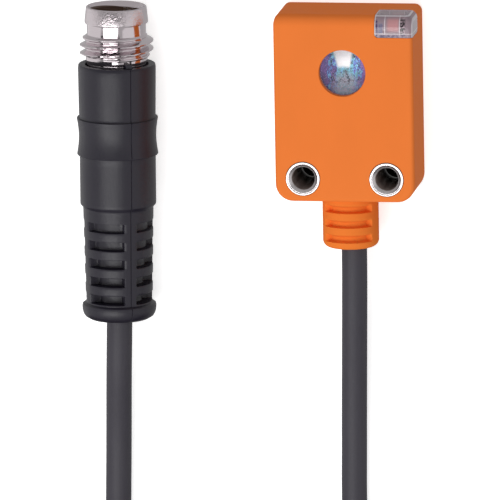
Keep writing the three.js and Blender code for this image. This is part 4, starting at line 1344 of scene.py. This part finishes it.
class SENSOR_OT_shell(bpy.types.Operator):
    """Makes the plug's moulded shell with its slotted boot"""
    bl_idname = "sensor.shell"
    bl_label = "Make plug shell"

    rows = 5
    slot_pitch = 1.97 * MM
    slot_height = 0.93 * MM
    first_slot = -6.26 * MM
    first_core = 3.1 * MM
    core_fall = 0.17 * MM
    web = math.radians(24)

    def execute(self, context):
        settings = context.scene.sensor_plug
        line, start, finish = self.outline(settings, context.scene.sensor_cable.diameter / 2)
        points, faces = turned(line, self.angles(), self.slots(start, finish))
        place = along_y(plug_place(), PLUG_LEAN)
        shell = new_piece("shell_body", points, faces, 50.0, place)
        key = bar(
            "key", (3.0 * MM, -0.37 * MM, 9.3 * MM), (3.74 * MM, 0.37 * MM, 12.04 * MM), 0.07 * MM, 2,
        )
        key.data.transform(place @ Matrix.Rotation(KEY_ANGLE, 4, "Z"))
        shell = merged("shell_moulding", [shell, key])
        dress(shell, shell_black(settings.black), "shell_black", "plug_shell")
        return {"FINISHED"}

    def angles(self):
        """Angles round the shell, closer together at the slots' ends and the mould line."""
        close = {0.0}
        for quarter in range(4):
            web = KEY_ANGLE + quarter * math.pi / 2
            for side in (-1, 1):
                for nudge in (-0.045, -0.02, 0.0, 0.02, 0.045):
                    close.add(web + side * self.web / 2 + nudge)
            for nudge in (-0.03, -0.012, 0.0, 0.012, 0.03):
                close.add(web + nudge)
        for step in range(72):
            angle = FULL_TURN * step / 72
            if all(abs(angle - other) > 0.03 for other in close):
                close.add(angle)
        return sorted(angle % FULL_TURN for angle in close)

    def outline(self, settings, cable_radius):
        """The shell's section, and where its plain boot begins and ends in the line."""
        low = -settings.boot_end
        top = 11.6 * MM
        collar_low, collar_high = 1.77 * MM, 5.82 * MM
        boot_top = -3.96 * MM
        tip, wide = 3.55 * MM, 3.77 * MM
        bore = cable_radius + 0.04 * MM
        flange = 3.98 * MM
        lower, below_collar = 4.07 * MM, 4.09 * MM
        above_collar, taper, taper_height = 4.1 * MM, 0.07 * MM, 5.1 * MM
        recess, sleeve_bore, cavity = 3.42 * MM, 3.25 * MM, 2.3 * MM
        shoulder, cavity_low = 9.0 * MM, -1.0 * MM
        line = [(bore, low + 0.2 * MM), (bore + 0.05 * MM, low + 0.02 * MM)]
        line += [(bore + 0.35 * MM, low), (bore + 0.5 * MM, low + 0.1 * MM), (2.6 * MM, low + 0.08 * MM)]
        line += [(3.2 * MM, low + 0.14 * MM), (3.66 * MM, low + 0.42 * MM)]
        line += [(3.86 * MM, low + 0.74 * MM), (3.95 * MM, low + 1.1 * MM)]
        line += [(flange, low + 1.5 * MM), (3.93 * MM, low + 1.72 * MM), (3.82 * MM, low + 1.8 * MM)]
        start = len(line)
        heights = set(steps_between(low + 1.9 * MM, boot_top, 0.3 * MM))
        for row in range(self.rows):
            bottom = self.first_slot - row * self.slot_pitch
            for edge in (bottom, bottom + self.slot_height):
                near = [edge + nudge * MM for nudge in (-0.09, -0.04, 0.0, 0.04, 0.09)]
                heights = {h for h in heights if min(abs(h - n) for n in near) > 0.06 * MM}
                heights.update(near)
        for height in sorted(heights):
            share = (height - low) / (boot_top - low)
            line.append((tip + (wide - tip) * share, height))
        finish = len(line)
        line += [(wide + 0.03 * MM, boot_top + 0.04 * MM), (4.04 * MM, boot_top + 0.32 * MM)]
        line += [(lower, boot_top + 0.4 * MM)]
        plain = steps_between(boot_top + 0.7 * MM, collar_low - 0.06 * MM, 0.8 * MM)
        line += [(lower, h) for h in plain]
        line += [(below_collar, collar_low), (settings.collar - 0.04 * MM, collar_low + 0.02 * MM)]
        waist_depth, waist_steps = 0.21 * MM, 16
        for i in range(waist_steps + 1):
            share = i / waist_steps
            waist = waist_depth * math.sin(math.pi * share)
            height = collar_low + 0.08 * MM + (collar_high - collar_low - 0.16 * MM) * share
            line.append((settings.collar - waist, height))
        line += [(settings.collar - 0.04 * MM, collar_high - 0.02 * MM), (4.12 * MM, collar_high)]
        line += [(above_collar, collar_high + 0.06 * MM)]
        for i in range(9):
            share = i / 8
            line.append((above_collar + taper * share, collar_high + 0.3 * MM + taper_height * share))
        line += [(4.13 * MM, top - 0.08 * MM), (4.06 * MM, top - 0.01 * MM), (3.5 * MM, top)]
        line += [(recess, top - 0.05 * MM), (recess - 0.05 * MM, top - 0.45 * MM)]
        line += [(3.3 * MM, top - 0.5 * MM), (sleeve_bore, top - 0.6 * MM), (sleeve_bore, shoulder)]
        line += [(cavity, shoulder), (cavity, cavity_low), (bore, cavity_low)]
        return line, start, finish

    def slots(self, start, finish):
        """Cuts the boot's slots and the fine mould line."""
        half_slot = math.pi / 4 - self.web / 2

        def shape(radius, height, angle, index):
            quarter = (angle - KEY_ANGLE) % (math.pi / 2)
            from_centre = abs(quarter - math.pi / 4)
            across = 1 - smooth_step(from_centre, half_slot - 0.03, half_slot + 0.03)
            half_turn = (angle - KEY_ANGLE + math.pi / 2) % math.pi - math.pi / 2
            if radius > 3.5 * MM and abs(half_turn) < 0.011:
                radius -= 0.07 * MM
            if not start <= index < finish:
                return radius, height
            for row in range(self.rows):
                bottom = self.first_slot - row * self.slot_pitch
                along = smooth_step(height, bottom - 0.05 * MM, bottom + 0.05 * MM)
                top = bottom + self.slot_height
                along *= 1 - smooth_step(height, top - 0.05 * MM, top + 0.05 * MM)
                core = self.first_core - self.core_fall * row
                radius -= (radius - core) * along * across
            return radius, height

        return shape


# ------------------------------------------------------------------ tie
class SENSOR_OT_tie(bpy.types.Operator):
    bl_idname = "sensor.tie"
    bl_label = "Make cable tie"

    def execute(self, context):
        low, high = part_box("cable_tie")
        coil_low, coil_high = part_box("cable_coil")
        centre = middle("cable_coil")
        thickness = 0.4 * MM
        inner_low = Vector((low.y + thickness, low.z + thickness))
        inner_high = Vector((centre.y - 10.9 * MM, coil_high.z + 0.15 * MM))
        inner = rounded_outline(inner_low, inner_high, 1.3 * MM, 1.3 * MM, 8)
        grow = Vector((thickness, thickness))
        outer = rounded_outline(inner_low - grow, inner_high + grow, 1.7 * MM, 1.7 * MM, 8)
        half = 1.25 * MM
        points = []
        for x in (centre.x - half, centre.x + half):
            points += [(x, y, z) for y, z in outer]
            points += [(x, y, z) for y, z in inner]
        count = len(outer)
        faces = []
        for i in range(count):
            j = (i + 1) % count
            a, b, c, d = i, j, count + j, count + i
            shift = 2 * count
            faces += [(a, b, c, d), (a + shift, d + shift, c + shift, b + shift)]
            faces += [(a, a + shift, b + shift, b), (d, c, c + shift, d + shift)]
        band = new_piece("band", points, faces, 40.0)
        lock_size = Vector((3.2, 2.6, 1.4)) * MM
        lock_low = Vector((
            centre.x - lock_size.x / 2, inner_high.x - lock_size.y, coil_high.z + 0.4 * MM,
        ))
        lock_high = lock_low + lock_size
        lock = bar("lock", lock_low, lock_high, 0.25 * MM, 3)
        tail_low = Vector((centre.x - half, lock_low.y - 0.9 * MM, lock_low.z + 0.5 * MM))
        tail_high = Vector((centre.x + half, lock_low.y + 0.1 * MM, lock_low.z + 0.9 * MM))
        tail = bar("tail", tail_low, tail_high, 0.1 * MM, 2)
        tie = merged("tie_band", [band, lock, tail])
        dress(tie, plain_part("tie_nylon", (0.02, 0.02, 0.02), 0.4), "tie_black", "cable_tie")
        self.declare(context)
        return {"FINISHED"}

    def declare(self, context):
        """Does nothing."""


# ------------------------------------------------------------------ pieces carried over
HIDDEN_PARTS = (
    # slot, colour, roughness, metallic, nodes
    ("seal_rubber", (0.02, 0.02, 0.02), 0.7, 0.0, ("lens_seal",)),
    ("diode_epoxy", (0.02, 0.02, 0.03), 0.2, 0.0, ("receiver_diode",)),
    ("board_green", (0.03, 0.16, 0.07), 0.4, 0.0, ("circuit_board",)),
    ("chip_black", (0.03, 0.03, 0.032), 0.5, 0.0,
        ("sensor_chip", "output_driver", "regulator", "resistor_1", "resistor_2", "resistor_3",
         "resistor_4")),
    ("capacitor_tan", (0.42, 0.30, 0.20), 0.5, 0.0, ("capacitor_1", "capacitor_2", "capacitor_3")),
    ("can_tin", (0.62, 0.62, 0.64), 0.35, 1.0, ("shield_can",)),
    ("clamp_brass", (0.62, 0.45, 0.20), 0.3, 1.0, ("cable_clamp",)),
    ("wire_brown", (0.15, 0.06, 0.03), 0.4, 0.0, ("head_wire_brown", "plug_wire_brown")),
    ("wire_blue", (0.03, 0.09, 0.38), 0.4, 0.0, ("head_wire_blue", "plug_wire_blue")),
    ("wire_black", (0.015, 0.015, 0.015), 0.4, 0.0, ("head_wire_black", "plug_wire_black")),
    ("black_plastic", (0.02, 0.018, 0.018), 0.5, 0.0, ("contact_carrier",)),
    ("filler_grey", (0.35, 0.35, 0.33), 0.5, 0.0, ("plug_filler",)),
    ("cable_jacket", (0.05, 0.048, 0.054), 0.55, 0.0, ("cable_end_head", "cable_end_plug")),
)


class SENSOR_OT_inner_parts(bpy.types.Operator):
    """Gives the electronics, wires and inner parts their finishes"""
    bl_idname = "sensor.inner_parts"
    bl_label = "Finish inner parts"

    def execute(self, context):
        for slot, tint, roughness, metallic, nodes in HIDDEN_PARTS:
            material = plain_part("inner_" + slot, tint, roughness, metallic)
            for node in nodes:
                piece = frame["nodes"][node]
                piece.data.materials.clear()
                piece.data.materials.append(material)
        return {"FINISHED"}


# ------------------------------------------------------------------ panel and registration
STEPS = (
    SENSOR_OT_stage, SENSOR_OT_cable, SENSOR_OT_housing, SENSOR_OT_bushes, SENSOR_OT_lens,
    SENSOR_OT_window, SENSOR_OT_relief, SENSOR_OT_sleeve, SENSOR_OT_shell, SENSOR_OT_tie,
    SENSOR_OT_inner_parts,
)
SETTINGS = {
    "sensor_stage": StageSettings,
    "sensor_housing": HousingSettings,
    "sensor_bush": BushSettings,
    "sensor_lens": LensSettings,
    "sensor_window": WindowSettings,
    "sensor_relief": ReliefSettings,
    "sensor_cable": CableSettings,
    "sensor_plug": PlugSettings,
}


class SENSOR_PT_pieces(bpy.types.Panel):
    """Lists the pieces and their settings"""
    bl_idname = "SENSOR_PT_pieces"
    bl_label = "Photoelectric Sensor"
    bl_space_type = "VIEW_3D"
    bl_region_type = "UI"
    bl_category = "Sensor"

    def draw(self, context):
        for step in STEPS:
            self.layout.operator(step.bl_idname)
        for name, group in SETTINGS.items():
            box = self.layout.box()
            box.label(text=group.__doc__)
            for key in group.__annotations__:
                box.prop(getattr(context.scene, name), key)


def register():
    for group in (*SETTINGS.values(), *STEPS, SENSOR_PT_pieces):
        bpy.utils.register_class(group)
    for name, group in SETTINGS.items():
        setattr(bpy.types.Scene, name, bpy.props.PointerProperty(type=group))


def unregister():
    for name in SETTINGS:
        delattr(bpy.types.Scene, name)
    for group in (SENSOR_PT_pieces, *reversed(STEPS), *SETTINGS.values()):
        bpy.utils.unregister_class(group)


def main():
    register()
    for step in STEPS:
        family, name = step.bl_idname.split(".")
        result = getattr(getattr(bpy.ops, family), name)()
        if result != {"FINISHED"}:
            raise RuntimeError(f"{step.bl_label} didn't finish")


if __name__ == "__main__":
    main()
